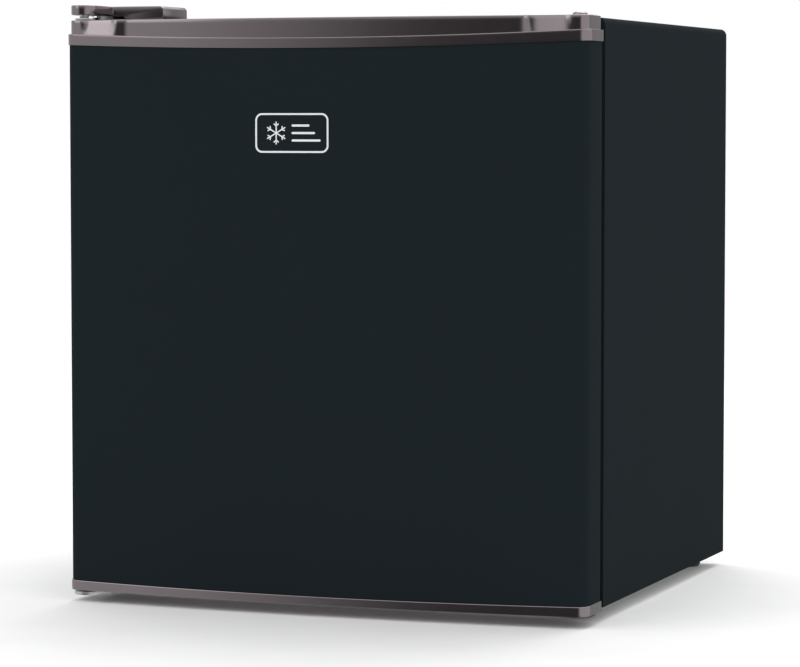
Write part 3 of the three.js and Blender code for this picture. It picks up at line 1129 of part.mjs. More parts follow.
function thermostatHousing() {
  const t = THERMOSTAT_WALL;
  const r = LINER_CORNER - CLEARANCE;
  const outer = roundedRect(THERMO_LEFT, THERMO_RIGHT, THERMO_FLOOR, THERMO_TOP, r);
  const inner = roundedRect(THERMO_LEFT + t, THERMO_RIGHT - t, THERMO_FLOOR + t, THERMO_TOP - t,
    r - t);
  const hole = rodAlong('y', SHAFT_RADIUS + 1, THERMO_FRONT - 2, THERMO_FRONT + 5, KNOB_X,
    KNOB_Z);
  return cut(carriedAlongY(outer, THERMO_FRONT, THERMO_BACK, 3),
    carriedAlongY(inner, THERMO_FRONT + t, THERMO_BACK + 1, 3), hole);
}

// The switch itself, behind the housing's front wall.
function thermostatBody() {
  const half = CONTROL_SIZE / 2;
  const y0 = THERMO_FRONT + THERMOSTAT_WALL + CLEARANCE;
  const body = block(KNOB_X - half, KNOB_X + half, y0, y0 + CONTROL_SIZE, KNOB_Z - half,
    KNOB_Z + half);
  return body.subtract(rodAlong('y', SHAFT_RADIUS + CLEARANCE, y0 - 1, y0 + 10, KNOB_X, KNOB_Z));
}

// Grip with a raised pointer bar, and the flatted shaft that it is pressed on.
function thermostatKnob() {
  const back = THERMO_FRONT - CLEARANCE;
  const front = back - KNOB_LENGTH;
  const skirt = rodAlong('y', KNOB_RADIUS, back - 5, back, KNOB_X, KNOB_Z, 32);
  const grip = rodAlong('y', KNOB_RADIUS - 4, front, back - 4, KNOB_X, KNOB_Z, 24);
  const sides = [1, -1].map((side) => {
    const near = side * 5;
    const far = side * (KNOB_RADIUS + 1);
    return block(KNOB_X + Math.min(near, far), KNOB_X + Math.max(near, far), front - 1,
      back - 7, KNOB_Z - KNOB_RADIUS, KNOB_Z + KNOB_RADIUS);
  });
  const shaft = rodAlong('y', SHAFT_RADIUS, back - 1,
    THERMO_FRONT + THERMOSTAT_WALL + CLEARANCE + 8, KNOB_X, KNOB_Z, 12);
  return join(cut(join(skirt, grip), ...sides), shaft);
}

// The sensing tube from the switch to the freezer box's side.
function sensorBulb() {
  const y0 = THERMO_FRONT + THERMOSTAT_WALL + CONTROL_SIZE + 2 * CLEARANCE;
  return tube([[KNOB_X, y0, KNOB_Z], [KNOB_X, y0 + 30, KNOB_Z], [KNOB_X - 20, THERMO_BACK + 25,
    KNOB_Z - 4], [FREEZER_RIGHT + 40, FREEZER_FRONT + 60, KNOB_Z - 15],
  [FREEZER_RIGHT + 4, FREEZER_FRONT + 90, KNOB_Z - 20],
  [FREEZER_RIGHT + 2, FREEZER_FRONT + 150, KNOB_Z - 20]], 1.3, 18);
}

// ---- Assembly --------------------------------------------------------------------------
const fridge = new THREE.Group();

function add(name, piece, look) {
  const geometry = surface(piece);
  const mesh = new THREE.Mesh(geometry, new THREE.MeshStandardMaterial(look));
  mesh.name = name;
  fridge.add(mesh);
}

function addCabinet() {
  add('cabinet_wrapper', cabinetWrapper(), PAINTED_BLACK);
  add('back_panel', backPanel(), PAINTED_BLACK);
  add('bay_panel', bayPanel(), BARE_STEEL);
  add('base_panel', basePanel(), BARE_STEEL);
  add('cabinet_foam', cabinetFoam(), FOAM);
  add('inner_liner', innerLiner(), WHITE_LINER);
  add('cabinet_top_plug', cabinetTopPlug(), METALLIC_TRIM);
}

function addHingesAndFeet() {
  add('top_hinge_bracket', topHingeBracket(), BARE_STEEL);
  add('top_hinge_cover', topHingeCover(), METALLIC_TRIM);
  add('hinge_washer', hingeWasher(), NYLON);
  add('lower_hinge_bracket', lowerHingeBracket(), BARE_STEEL);
  topScrewPlaces().forEach(([x, y], i) => {
    add(`top_hinge_screw_${i + 1}`, hingeScrew(x, y, COVER_FOOT + PLATE, 1), BARE_STEEL);
  });
  lowerScrewPlaces().forEach(([x, y], i) => {
    add(`lower_hinge_screw_${i + 1}`, hingeScrew(x, y, LOWER_BRACKET, -1), BARE_STEEL);
  });
  add('right_foot_bracket', rightFootBracket(), BARE_STEEL);
  [['left', -1], ['right', 1]].forEach(([word, side]) => {
    add(`front_foot_stud_${word}`, footStud(side), BARE_STEEL);
    add(`front_foot_pad_${word}`, footPad(side), BLACK_PLASTIC);
    add(`rear_foot_${word}`, rearFoot(side), RUBBER);
  });
}

function addMachineBay() {
  add('compressor_plate', compressorPlate(), BARE_STEEL);
  add('compressor', compressor(), SHELL_BLACK);
  grommetPlaces().forEach((place, i) => {
    add(`compressor_grommet_${i + 1}`, compressorGrommet(place), RUBBER);
  });
  add('relay_cover', relayCover(), BLACK_PLASTIC);
  add('filter_drier', filterDrier(), COPPER);
  add('suction_tube', suctionTube(), COPPER);
  add('discharge_tube', dischargeTube(), COPPER);
  add('condenser_coil', condenserCoil(), COPPER);
  add('cord_gland', cordGland(), RUBBER);
}

function addInterior() {
  add('evaporator', evaporator(), ALUMINIUM);
  add('evaporator_hanger', evaporatorHanger(), WHITE_LINER);
  add('freezer_frame', freezerFrame(), WHITE_LINER);
  add('freezer_flap', freezerFlap(), CLEAR_BIN);
  add('tray_runner_left', trayRunner(-1), WHITE_LINER);
  add('tray_runner_right', trayRunner(1), WHITE_LINER);
  add('drip_tray', dripTray(), CLEAR_BIN);
  add('shelf_glass', shelfGlass(), CLEAR_GLASS);
  add('shelf_trim', shelfTrim(), WHITE_LINER);
  add('thermostat_housing', thermostatHousing(), WHITE_LINER);
  add('thermostat_body', thermostatBody(), BARE_STEEL);
  add('thermostat_knob', thermostatKnob(), WHITE_LINER);
  add('sensor_bulb', sensorBulb(), COPPER);
}

function addDoor() {
  add('door_skin', doorSkin(), PAINTED_BLACK);
  add('door_top_cap', doorTopCap(), METALLIC_TRIM);
  add('door_bottom_cap', doorBottomCap(), METALLIC_TRIM);
  add('door_foam', doorFoam(), FOAM);
  add('door_liner', doorLiner(), WHITE_LINER);
  add('door_gasket', doorGasket(), GASKET_GREY);
  add('gasket_magnet', gasketMagnet(), MAGNET);
  add('top_bush', topBush(), NYLON);
  add('bottom_bush', bottomBush(), NYLON);
  add('door_cap_plug', doorCapPlug(), METALLIC_TRIM);
  add('upper_door_bin', upperDoorBin(), CLEAR_BIN);
  add('lower_door_bin', lowerDoorBin(), CLEAR_BIN);
  add('badge', badge(), BADGE_SILVER);
}

addCabinet();
addHingesAndFeet();
addMachineBay();
addInterior();
addDoor();

export default fridge;
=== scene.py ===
# %% [markdown]
# A compact refrigerator with a bowed door
#
# The frame holds every working solid of this fridge: where the hinge pin is, how deep the freezer box
# sits, how far the door swings. The cells below build the finished skin of each piece around it. Most
# places and outer sizes are read from the frame, so a piece lands where its solid is. What a solid's
# box doesn't tell, such as a wall, a radius or the route of a pipe, is written in the piece's own cell.
# %% Load the frame
import json
import math

import bmesh
import bpy
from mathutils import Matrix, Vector


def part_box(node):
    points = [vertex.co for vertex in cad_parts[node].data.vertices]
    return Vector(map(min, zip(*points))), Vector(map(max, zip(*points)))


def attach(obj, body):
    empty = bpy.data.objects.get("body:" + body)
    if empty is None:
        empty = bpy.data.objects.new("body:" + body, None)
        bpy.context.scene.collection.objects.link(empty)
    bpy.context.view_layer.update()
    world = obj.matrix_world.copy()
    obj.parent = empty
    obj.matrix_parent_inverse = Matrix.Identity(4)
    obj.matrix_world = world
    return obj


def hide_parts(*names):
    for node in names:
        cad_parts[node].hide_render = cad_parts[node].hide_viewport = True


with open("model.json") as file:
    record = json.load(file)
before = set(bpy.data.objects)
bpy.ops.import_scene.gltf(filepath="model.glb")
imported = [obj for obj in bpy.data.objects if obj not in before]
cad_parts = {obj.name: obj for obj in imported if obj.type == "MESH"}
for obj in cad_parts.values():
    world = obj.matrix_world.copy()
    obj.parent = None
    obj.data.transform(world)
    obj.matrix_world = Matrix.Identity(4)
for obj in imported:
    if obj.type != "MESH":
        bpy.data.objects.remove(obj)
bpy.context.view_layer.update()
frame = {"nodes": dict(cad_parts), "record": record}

MM = 0.001

# %% [markdown]
# The view. A long lens from well back keeps the front nearly square while one side still shows. The
# camera stands to the right of the door at about the height of the badge and looks slightly down.
# %% Camera
scene = bpy.context.scene
scene.view_settings.view_transform = "Standard"
camera = bpy.data.objects.new("camera", bpy.data.cameras.new("camera"))
scene.collection.objects.link(camera)
camera.data.lens = 148.17
camera.data.sensor_width = 36
camera.location = (1.0278, -2.7622, 0.4150)
camera.rotation_euler = (math.radians(90 - 3.693), 0, math.radians(20.534))
scene.camera = camera
print("camera stands", round(camera.location.length, 2), "m from the fridge's foot")

# %% [markdown]
# The shader arithmetic. A finish is a few formulas over noise and position, so it reads best when it is
# written as formulas. Field wraps one socket and turns + - and * into Math nodes. Nodes owns one node
# tree, and its node() adds any other node. Finish is the tree of one material, and its feed() plugs a
# field into the Principled shader. The room's light and the Geometry Nodes use the same two classes.
# %% Shader arithmetic
class Field:
    """One output of a node, with Python arithmetic that adds Math nodes."""

    def __init__(self, nodes, socket):
        self.nodes = nodes
        self.socket = socket

    def calculate(self, operation, first, second):
        return self.nodes.node("ShaderNodeMath", {"operation": operation}, {0: first, 1: second})

    def __add__(self, other):
        return self.calculate("ADD", self, other)

    def __radd__(self, other):
        return self.calculate("ADD", other, self)

    def __sub__(self, other):
        return self.calculate("SUBTRACT", self, other)

    def __rsub__(self, other):
        return self.calculate("SUBTRACT", other, self)

    def __mul__(self, other):
        return self.calculate("MULTIPLY", self, other)

    def __rmul__(self, other):
        return self.calculate("MULTIPLY", other, self)

    def at_most(self, other):
        return self.calculate("MINIMUM", self, other)

    def at_least(self, other):
        return self.calculate("MAXIMUM", self, other)

    def ramp(self, low, high):
        """0 at low, 1 at high, with a soft start and end."""
        settings = {"interpolation_type": "SMOOTHSTEP"}
        return self.nodes.node("ShaderNodeMapRange", settings,
                               {"Value": self, "From Min": low, "From Max": high})

    def between(self, first, second):
        """A colour that goes from first to second as this value goes from 0 to 1."""
        return self.nodes.node("ShaderNodeMix", {"data_type": "RGBA"},
                               {0: self, 6: first, 7: second}, output=2)


class Nodes:
    """A node tree; node() adds one node and fills or links its inputs."""

    def __init__(self, tree):
        self.tree = tree

    def node(self, kind, settings=None, inputs=None, output=0):
        made = self.tree.nodes.new(kind)
        for name, value in (settings or {}).items():
            setattr(made, name, value)
        for name, value in (inputs or {}).items():
            if isinstance(value, Field):
                self.tree.links.new(value.socket, made.inputs[name])
            elif isinstance(value, tuple) and len(value) == 3 and len(
                    made.inputs[name].default_value) == 4:
                made.inputs[name].default_value = (*value, 1)
            else:
                made.inputs[name].default_value = value
        return Field(self, made.outputs[output])


class Finish(Nodes):
    """The tree of one material: patterns over the piece, fed into a Principled shader."""

    def __init__(self, name, constants):
        self.material = bpy.data.materials.new(name)
        self.material.use_nodes = True
        super().__init__(self.material.node_tree)
        self.surface = self.tree.nodes["Principled BSDF"]
        for socket, value in constants.items():
            self.surface.inputs[socket].default_value = value

    def place(self):
        return self.node("ShaderNodeTexCoord", output="Object")

    def noise(self, per_metre, detail=2.0, stretch=(1, 1, 1)):
        where = self.node("ShaderNodeMapping", None,
                          {"Vector": self.place(), "Scale": tuple(per_metre * s for s in stretch)})
        return self.node("ShaderNodeTexNoise", None,
                         {"Vector": where, "Scale": 1.0, "Detail": detail})

    def cells(self, per_metre, output="Color"):
        return self.node("ShaderNodeTexVoronoi", None,
                         {"Vector": self.place(), "Scale": per_metre}, output=output)

    def relief(self, height, depth):
        """Turns a height field into a bump of that depth, in metres."""
        self.feed("Normal", self.node("ShaderNodeBump", None, {"Height": height, "Distance": depth}))

    def feed(self, socket, field):
        self.tree.links.new(field.socket, self.surface.inputs[socket])


print("shader arithmetic ready")

# %% [markdown]
# The finishes. Sprayed enamel is never quite flat: it has a fine orange peel and its gloss drifts a
# little. The door caps are plastic with a warm metallic lacquer, so they get a metal's reflection, a
# flake that you only see close up and a clear coat. Moulded plastics get a fine spark-eroded grain.
# %% Painted and lacquered finishes
def enamel(name, colour, gloss, specular, peel=0.00002):
    finish = Finish(name, {"Specular IOR Level": specular})
    drift = finish.noise(7, 3)
    finish.feed("Base Color", drift.between(colour, tuple(c * 1.12 for c in colour)))
    finish.feed("Roughness", finish.noise(60, 3) * 0.07 + (gloss - 0.035))
    finish.relief(finish.noise(700, 2), peel)
    return finish.material


def metallic_lacquer():
    finish = Finish("warm_metallic_lacquer", {"Metallic": 1.0, "Coat Weight": 0.1,
                                              "Coat Roughness": 0.08})
    flake = finish.cells(5200, "Distance")
    drift = finish.noise(22, 3)
    warm = drift.between((0.265, 0.230, 0.240), (0.295, 0.256, 0.266))
    sparkle = (flake * 2.2).ramp(0.25, 1.0)
    finish.feed("Base Color", (sparkle * 0.25).between(warm, (0.15, 0.13, 0.135)))
    finish.feed("Roughness", finish.noise(90, 2) * 0.05 + 0.14)
    finish.relief(finish.noise(1500, 1), 0.000006)
    return finish.material


FINISH = {
    "painted_black": enamel("black_enamel", (0.0112, 0.0160, 0.0188), 0.6, 0.01),
    "compressor_paint": enamel("stove_enamel", (0.012, 0.012, 0.013), 0.2, 0.5, 0.00006),
    "metallic_trim": metallic_lacquer(),
}
print("painted finishes", sorted(FINISH))

# %% [markdown]
# The plainer finishes. Plastic, rubber and vinyl share one recipe with another colour, gloss and grain.
# Zinc plate gets a crystal pattern, the bonded aluminium a rolled grain with some frost on it, and
# copper a brown tarnish in patches. Glass and clear styrene are seen through by their alpha, which
# rises towards grazing angles as a real clear sheet's reflection does.
# %% Moulded, metal and clear finishes
def moulded(name, colour, gloss, grain_depth, subsurface=0.0):
    finish = Finish(name, {"Subsurface Weight": subsurface, "Subsurface Scale": 0.002})
    drift = finish.noise(14, 3)
    finish.feed("Base Color", drift.between(tuple(c * 0.94 for c in colour), colour))
    finish.feed("Roughness", finish.noise(45, 3) * 0.12 + (gloss - 0.06))
    finish.relief(finish.noise(2600, 2), grain_depth)
    return finish.material


def zinc_plate():
    finish = Finish("zinc_plate", {"Metallic": 0.9})
    spangle = finish.cells(160)
    grey = finish.node("ShaderNodeSeparateColor", None, {0: spangle})
    finish.feed("Base Color", grey.between((0.46, 0.47, 0.47), (0.60, 0.61, 0.62)))
    finish.feed("Roughness", grey * 0.16 + finish.noise(500, 3) * 0.12 + 0.24)
    finish.relief(finish.noise(900, 3), 0.00001)
    return finish.material


def bonded_aluminium():
    finish = Finish("bonded_aluminium", {})
    frost = finish.noise(46, 6).ramp(0.52, 0.66)
    rolled = finish.noise(500, 2, (1, 0.05, 1))
    metal = rolled.between((0.60, 0.61, 0.62), (0.74, 0.75, 0.76))
    finish.feed("Base Color", (frost * 0.5).between(metal, (0.85, 0.89, 0.93)))
    finish.feed("Metallic", 0.92 - frost * 0.6)
    finish.feed("Roughness", rolled * 0.12 + frost * 0.3 + 0.26)
    finish.relief(finish.noise(1300, 4) * frost + rolled * 0.3, 0.0002)
    return finish.material


def drawn_copper():
    finish = Finish("drawn_copper", {})
    tarnish = finish.noise(38, 5).ramp(0.42, 0.7)
    finish.feed("Base Color", tarnish.between((0.72, 0.33, 0.19), (0.26, 0.12, 0.075)))
    finish.feed("Metallic", 1.0 - tarnish * 0.25)
    finish.feed("Roughness", tarnish * 0.3 + 0.22)
    finish.relief(finish.noise(600, 3), 0.00002)
    return finish.material


def insulation():
    finish = Finish("insulation_foam", {"Specular IOR Level": 0.2})
    cell = finish.cells(900, "Distance")
    finish.feed("Base Color", finish.noise(40, 4).between((0.74, 0.62, 0.33), (0.86, 0.77, 0.50)))
    finish.feed("Roughness", cell * 0.1 + 0.85)
    finish.relief(cell, 0.0005)
    return finish.material


def clear_material(name, tint, opacity, gloss):
    finish = Finish(name, {"IOR": 1.5, "Specular IOR Level": 0.5})
    edge = finish.node("ShaderNodeLayerWeight", None, {"Blend": 0.35}, output="Facing")
    finish.feed("Base Color", finish.noise(9, 2).between(tint, tuple(c * 0.95 for c in tint)))
    finish.feed("Roughness", finish.noise(80, 3) * 0.06 + gloss)
    finish.feed("Alpha", (edge * 0.45 + opacity).at_most(1.0))
    finish.relief(finish.noise(300, 2), 0.00001)
    return finish.material


FINISH.update({
    "white_liner": moulded("white_liner_plastic", (0.83, 0.84, 0.83), 0.34, 0.00001, 0.06),
    "black_plastic": moulded("black_moulded_plastic", (0.022, 0.022, 0.024), 0.5, 0.00004),
    "rubber": moulded("moulded_rubber", (0.014, 0.014, 0.014), 0.72, 0.00005),
    "gasket_vinyl": moulded("grey_vinyl_gasket", (0.30, 0.31, 0.31), 0.55, 0.00002),
    "ferrite_strip": moulded("bonded_ferrite", (0.05, 0.042, 0.04), 0.8, 0.00005),
    "nylon": moulded("natural_nylon", (0.74, 0.73, 0.68), 0.42, 0.00002, 0.2),
    "bare_steel": zinc_plate(),
    "evaporator_aluminium": bonded_aluminium(),
    "copper": drawn_copper(),
    "insulation_foam": insulation(),
    "shelf_glass": clear_material("tempered_glass", (0.70, 0.86, 0.80), 0.16, 0.03),
    "clear_plastic": clear_material("clear_styrene", (0.82, 0.88, 0.91), 0.20, 0.07),
    "badge_metal": moulded("badge_silver", (0.78, 0.80, 0.81), 0.35, 0.00001),
})
print("all finishes", sorted(FINISH))

# %% [markdown]
# The mesh workshop. Most pieces here are sheet or moulded parts with one constant section, so the
# basic move is a prism: an outline carried along an axis. Arcs get enough points to look round. Pockets
# and holes are cut with the exact Boolean solver. A small bevel breaks the sharp edges of most pieces,
# because a real moulding has no perfectly sharp edge and the highlight on it is what the eye reads.
# %% Mesh workshop
def as_object(name, mesh):
    made = bpy.data.objects.new(name, mesh)
    scene.collection.objects.link(made)
    return made


def mesh_from(name, points, faces):
    mesh = bpy.data.meshes.new(name)
    mesh.from_pydata([tuple(p) for p in points], [], faces)
    work = bmesh.new()
    work.from_mesh(mesh)
    bmesh.ops.remove_doubles(work, verts=work.verts, dist=1e-7)
    bmesh.ops.recalc_face_normals(work, faces=work.faces)
    work.to_mesh(mesh)
    work.free()
    return as_object(name, mesh)


def loft(name, rings, closed_loop=False):
    """A closed skin through rings of equally many points; its two ends are filled."""
    count = len(rings[0])
    points = [p for ring in rings for p in ring]
    spans = len(rings) if closed_loop else len(rings) - 1
    faces = []
    for r in range(spans):
        low = r * count
        high = ((r + 1) % len(rings)) * count
        faces += [(low + i, low + (i + 1) % count, high + (i + 1) % count, high + i)
                  for i in range(count)]
    if not closed_loop:
        faces.append(tuple(range(count)))
        faces.append(tuple(range((len(rings) - 1) * count, len(rings) * count)))
    return mesh_from(name, points, faces)


def prism(name, outline, low, high, along="z"):
    """Carries a flat outline along an axis. Along z it is (x, y), along y (x, z), along x (y, z)."""
    def point(a, b, c):
        return {"z": (a, b, c), "y": (a, c, b), "x": (c, a, b)}[along]
    return loft(name, [[point(a, b, c) for a, b in outline] for c in (low, high)])


def block(name, low, high):
    outline = [(low[0], low[1]), (high[0], low[1]), (high[0], high[1]), (low[0], high[1])]
    return prism(name, outline, low[2], high[2])


def arc(cx, cy, radius, start, end, steps):
    """Points on an arc, with angles in degrees."""
    angles = [math.radians(start + (end - start) * i / steps) for i in range(steps + 1)]
    return [(cx + radius * math.cos(a), cy + radius * math.sin(a)) for a in angles]


def rounded(x0, x1, y0, y1, radius, steps=8):
    r = radius
    return (arc(x1 - r, y0 + r, r, -90, 0, steps) + arc(x1 - r, y1 - r, r, 0, 90, steps)
            + arc(x0 + r, y1 - r, r, 90, 180, steps) + arc(x0 + r, y0 + r, r, 180, 270, steps))


def circle(cx, cy, radius, steps=40):
    return arc(cx, cy, radius, 0, 360 * (steps - 1) / steps, steps - 1)


def turned(name, profile, centre, along="z", steps=48):
    """Spins a [radius, height] profile that starts and ends on the axis."""
    def point(r, h, angle):
        u, v = r * math.cos(angle), r * math.sin(angle)
        local = {"z": (u, v, h), "y": (u, h, v), "x": (h, u, v)}[along]
        return Vector(centre) + Vector(local)
    rings = [[point(max(r, 1e-7), h, math.tau * i / steps) for i in range(steps)]
             for r, h in profile]
    return loft(name, rings)


def plain_mesh(piece):
    """Bakes a piece's modifiers into its mesh, so that nothing is left live on it."""
    evaluated = piece.evaluated_get(bpy.context.evaluated_depsgraph_get())
    mesh = bpy.data.meshes.new_from_object(evaluated)
    piece.modifiers.clear()
    piece.data = mesh
    return piece


def boolean(piece, other, operation):
    modifier = piece.modifiers.new("cut", "BOOLEAN")
    modifier.operation = operation
    modifier.solver = "EXACT"
    modifier.object = other
    bpy.context.view_layer.update()
    plain_mesh(piece)
    bpy.data.objects.remove(other)
    return piece


def cut(piece, *others):
    for other in others:
        boolean(piece, other, "DIFFERENCE")
    return piece


def fuse(piece, *others):
    for other in others:
        boolean(piece, other, "UNION")
    return piece


def eased(piece, width, segments=2, angle=35):
    """Breaks the sharp edges with a small bevel."""
    modifier = piece.modifiers.new("ease", "BEVEL")
    modifier.width = width
    modifier.segments = segments
    modifier.limit_method = "ANGLE"
    modifier.angle_limit = math.radians(angle)
    modifier.miter_outer = "MITER_ARC"
    bpy.context.view_layer.update()
    return plain_mesh(piece)


def joined(name, pieces):
    """Several separate shells as one object, such as the marks of the badge."""
    work = bmesh.new()
    for piece in pieces:
        work.from_mesh(piece.data)
        bpy.data.objects.remove(piece)
    mesh = bpy.data.meshes.new(name)
    work.to_mesh(mesh)
    work.free()
    return as_object(name, mesh)


def smooth(piece, angle=32):
    for polygon in piece.data.polygons:
        polygon.use_smooth = True
    piece.data.set_sharp_from_angle(angle=math.radians(angle))


def fitted(piece, body, slot, *nodes, finish=None, angle=32):
    """Finishes a piece: shading, material, the body it moves with and the solids it stands for."""
    smooth(piece, angle)
    piece.data.materials.clear()
    piece.data.materials.append(finish or FINISH[slot])
    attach(piece, body)
    if nodes:
        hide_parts(*nodes)
    print(piece.name, len(piece.data.polygons), "faces for", nodes)
    return piece


def corners(node):
    low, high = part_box(node)
    return (low.x, low.y, low.z), (high.x, high.y, high.z)


def centre_of(node):
    return [0.5 * (low + high) for low, high in zip(*corners(node))]


print("workshop ready")

# %% [markdown]
# Two more moves. refined() takes a solid of the frame as it is, merges its faces and breaks its edges,
# which is all that a bracket or a moulded housing needs. pipe() runs a Geometry Nodes recipe: it rounds
# the corners of a bare line and sweeps a round section along it, as a bender does with real tube. Every
# recipe has named inputs and ends by making the shape real and giving it its finish.
# %% Refined solids and bent pipes
def refined(node, width, segments=2, angle=35):
    work = bmesh.new()
    work.from_mesh(frame["nodes"][node].data)
    bmesh.ops.remove_doubles(work, verts=work.verts, dist=1e-6)
    bmesh.ops.dissolve_limit(work, angle_limit=math.radians(1.5), verts=work.verts,
                             edges=work.edges)
    mesh = bpy.data.meshes.new("fine_" + node)
    work.to_mesh(mesh)
    work.free()
    return eased(as_object("fine_" + node, mesh), width, segments, angle)


class Recipe(Nodes):
    """A Geometry Nodes tree with named inputs."""

    def __init__(self, name, inputs):
        super().__init__(bpy.data.node_groups.new(name, "GeometryNodeTree"))
        socket = self.tree.interface.new_socket
        for label, kind in {**inputs, "Finish": "Material"}.items():
            socket(label, in_out="INPUT", socket_type="NodeSocket" + kind)
        socket("Geometry", in_out="OUTPUT", socket_type="NodeSocketGeometry")
        self.entry = self.tree.nodes.new("NodeGroupInput")

    def given(self, label):
        return Field(self, self.entry.outputs[label])

    def deliver(self, shape):
        """Makes copies real, gives the shape its finish and ends the tree."""
        real = self.node("GeometryNodeRealizeInstances", None, {"Geometry": shape})
        painted = self.node("GeometryNodeSetMaterial", None,
                            {"Geometry": real, "Material": self.given("Finish")})
        leave = self.tree.nodes.new("NodeGroupOutput")
        self.tree.links.new(painted.socket, leave.inputs["Geometry"])
        return self.tree


def pipe_recipe():
    made = Recipe("bent_pipe", {"Line": "Geometry", "Bend radius": "Float", "Pipe radius": "Float",
                                "Bend steps": "Int"})
    path = made.node("GeometryNodeMeshToCurve", None, {"Mesh": made.given("Line")})
    bent = made.node("GeometryNodeFilletCurve", {"mode": "POLY"},
                     {"Curve": path, "Limit Radius": True, "Radius": made.given("Bend radius"),
                      "Count": made.given("Bend steps")})
    section = made.node("GeometryNodeCurvePrimitiveCircle", None,
                        {"Resolution": 14, "Radius": made.given("Pipe radius")}, output="Curve")
    return made.deliver(made.node("GeometryNodeCurveToMesh", None,
                                  {"Curve": bent, "Profile Curve": section, "Fill Caps": True}))


PIPE = pipe_recipe()


def set_inputs(modifier, values):
    for item in modifier.node_group.interface.items_tree:
        if item.item_type == "SOCKET" and item.in_out == "INPUT" and item.name in values:
            modifier[item.identifier] = values[item.name]


def pipe(name, points, radius, bend, finish, steps=8):
    mesh = bpy.data.meshes.new(name)
    mesh.from_pydata([tuple(p) for p in points], [(i, i + 1) for i in range(len(points) - 1)], [])
    made = as_object(name, mesh)
    modifier = made.modifiers.new("pipe", "NODES")
    modifier.node_group = PIPE
    set_inputs(modifier, {"Bend radius": bend, "Pipe radius": radius, "Bend steps": steps,
                          "Finish": finish})
    bpy.context.view_layer.update()
    return plain_mesh(made)


print("pipe recipe has", len(PIPE.nodes), "nodes")

# %% [markdown]
# The studio. A white floor and a white backdrop surround the fridge, but what the trim mirrors is the
# room round it. So the room has a bright ceiling, two dimmer side walls and a dim back wall, and stays
# dark straight ahead. The left wall reaches further round to the front than the right one, so the bowed
# trim goes from light at its left end to dark at its right, as a polished curve does beside a window.
# The floor is kept out of reflections, because a white floor mirrored in the lips of the trim would
# hide that. Two soft panels add a little shadow.
# %% Floor, room and lamps
floor = block("studio_floor", (-7, -6, -0.02), (7, 8, 0))
paper = moulded("studio_paper", (0.93, 0.93, 0.93), 0.9, 0.000001)
floor.data.materials.append(paper)
floor.visible_glossy = False

world = bpy.data.worlds.new("room")
scene.world = world
world.use_nodes = True
room = Nodes(world.node_tree)
backdrop = room.tree.nodes["Background"]


def toward(letter):
    """How far a direction in the room points along one axis, from -1 to 1."""
    direction = room.node("ShaderNodeTexCoord", output="Generated")
    return room.node("ShaderNodeSeparateXYZ", None, {0: direction}, output=letter)


left_wall = toward("X").ramp(-0.22, -0.6) * 0.6
right_wall = toward("X").ramp(0.3, 0.7) * 0.75
ceiling = toward("Z").ramp(0.12, 0.42)
back_wall = toward("Y").ramp(0.0, 0.6) * 0.3
lit = left_wall.at_least(right_wall).at_least(ceiling).at_least(back_wall)
backdrop_seen = room.node("ShaderNodeLightPath", output="Is Camera Ray")
glow = (lit * 1.1 + 0.08).at_least(backdrop_seen)
room.tree.links.new(glow.socket, backdrop.inputs["Strength"])
backdrop.inputs["Color"].default_value = (1, 1, 1, 1)


LAMP_AIM = Vector((0, 0, 0.25))


def panel_lamp(name, place, size, watts):
    lamp = bpy.data.lights.new(name, "AREA")
    lamp.shape = "RECTANGLE"
    lamp.size, lamp.size_y = size
    lamp.energy = watts
    holder = bpy.data.objects.new(name, lamp)
    holder.location = place
    holder.rotation_euler = (LAMP_AIM - Vector(place)).to_track_quat("-Z", "Y").to_euler()
    scene.collection.objects.link(holder)


panel_lamp("lamp_left", (-1.9, -2.1, 1.6), (1.3, 1.4), 6)
panel_lamp("lamp_top", (0.1, 1.0, 2.2), (1.6, 1.6), 22)
print("studio ready")

# %% [markdown]
# The door's outline. Seen from above, the front is one long arc that bows forward in the middle, and it
# turns into the flat sides through a small corner. Every skin of the door is an offset of this one
# outline: the enamelled sheet, the lip of the trim that stands proud of it and the band that sits back.
# Offsetting a real outline, rather than scaling it, keeps the gap between two skins the same all round.
# %% Door outline
(_, skin_front, SKIN_FOOT), (HALF, DOOR_BACK, SKIN_HEAD) = corners("door_skin")
DOOR_BOW = 12 * MM
DOOR_CORNER = 10 * MM
BOW_RADIUS = (HALF ** 2 + DOOR_BOW ** 2) / (2 * DOOR_BOW)
BOW_CENTRE = skin_front + BOW_RADIUS


def door_front(inset=0.0, bow_steps=72, corner_steps=10):
    """The visible front from the left side round to the right, moved inwards by inset."""
    centre_x = HALF - DOOR_CORNER
    reach = BOW_RADIUS - DOOR_CORNER
    centre_y = BOW_CENTRE - math.sqrt(reach ** 2 - centre_x ** 2)
    half = math.degrees(math.asin(centre_x / reach))
    corner = DOOR_CORNER - inset
    left = arc(-centre_x, centre_y, corner, 180, 270 - half, corner_steps)
    bow = arc(0, BOW_CENTRE, BOW_RADIUS - inset, 270 - half, 270 + half, bow_steps)
    right = arc(centre_x, centre_y, corner, 270 + half, 360, corner_steps)
    return left + bow[1:-1] + right


def door_sheet():
    """The enamelled sheet: bowed front, flat sides and a return folded in behind each side."""
    sheet, lap = 0.8 * MM, 18 * MM
    outside = door_front(0)
    inside = door_front(sheet)
    outline = (
        [(-HALF + lap, DOOR_BACK), *arc(-HALF + sheet, DOOR_BACK - sheet, sheet, 90, 180, 5)]
        + outside
        + [*arc(HALF - sheet, DOOR_BACK - sheet, sheet, 0, 90, 5), (HALF - lap, DOOR_BACK)]
        + [(HALF - lap, DOOR_BACK - sheet), (HALF - sheet, DOOR_BACK - sheet)]
        + inside[::-1]
        + [(-HALF + sheet, DOOR_BACK - sheet), (-HALF + lap, DOOR_BACK - sheet)])
    return prism("door_sheet", outline, SKIN_FOOT, SKIN_HEAD)


fitted(door_sheet(), "door", "painted_black", "door_skin", angle=25)

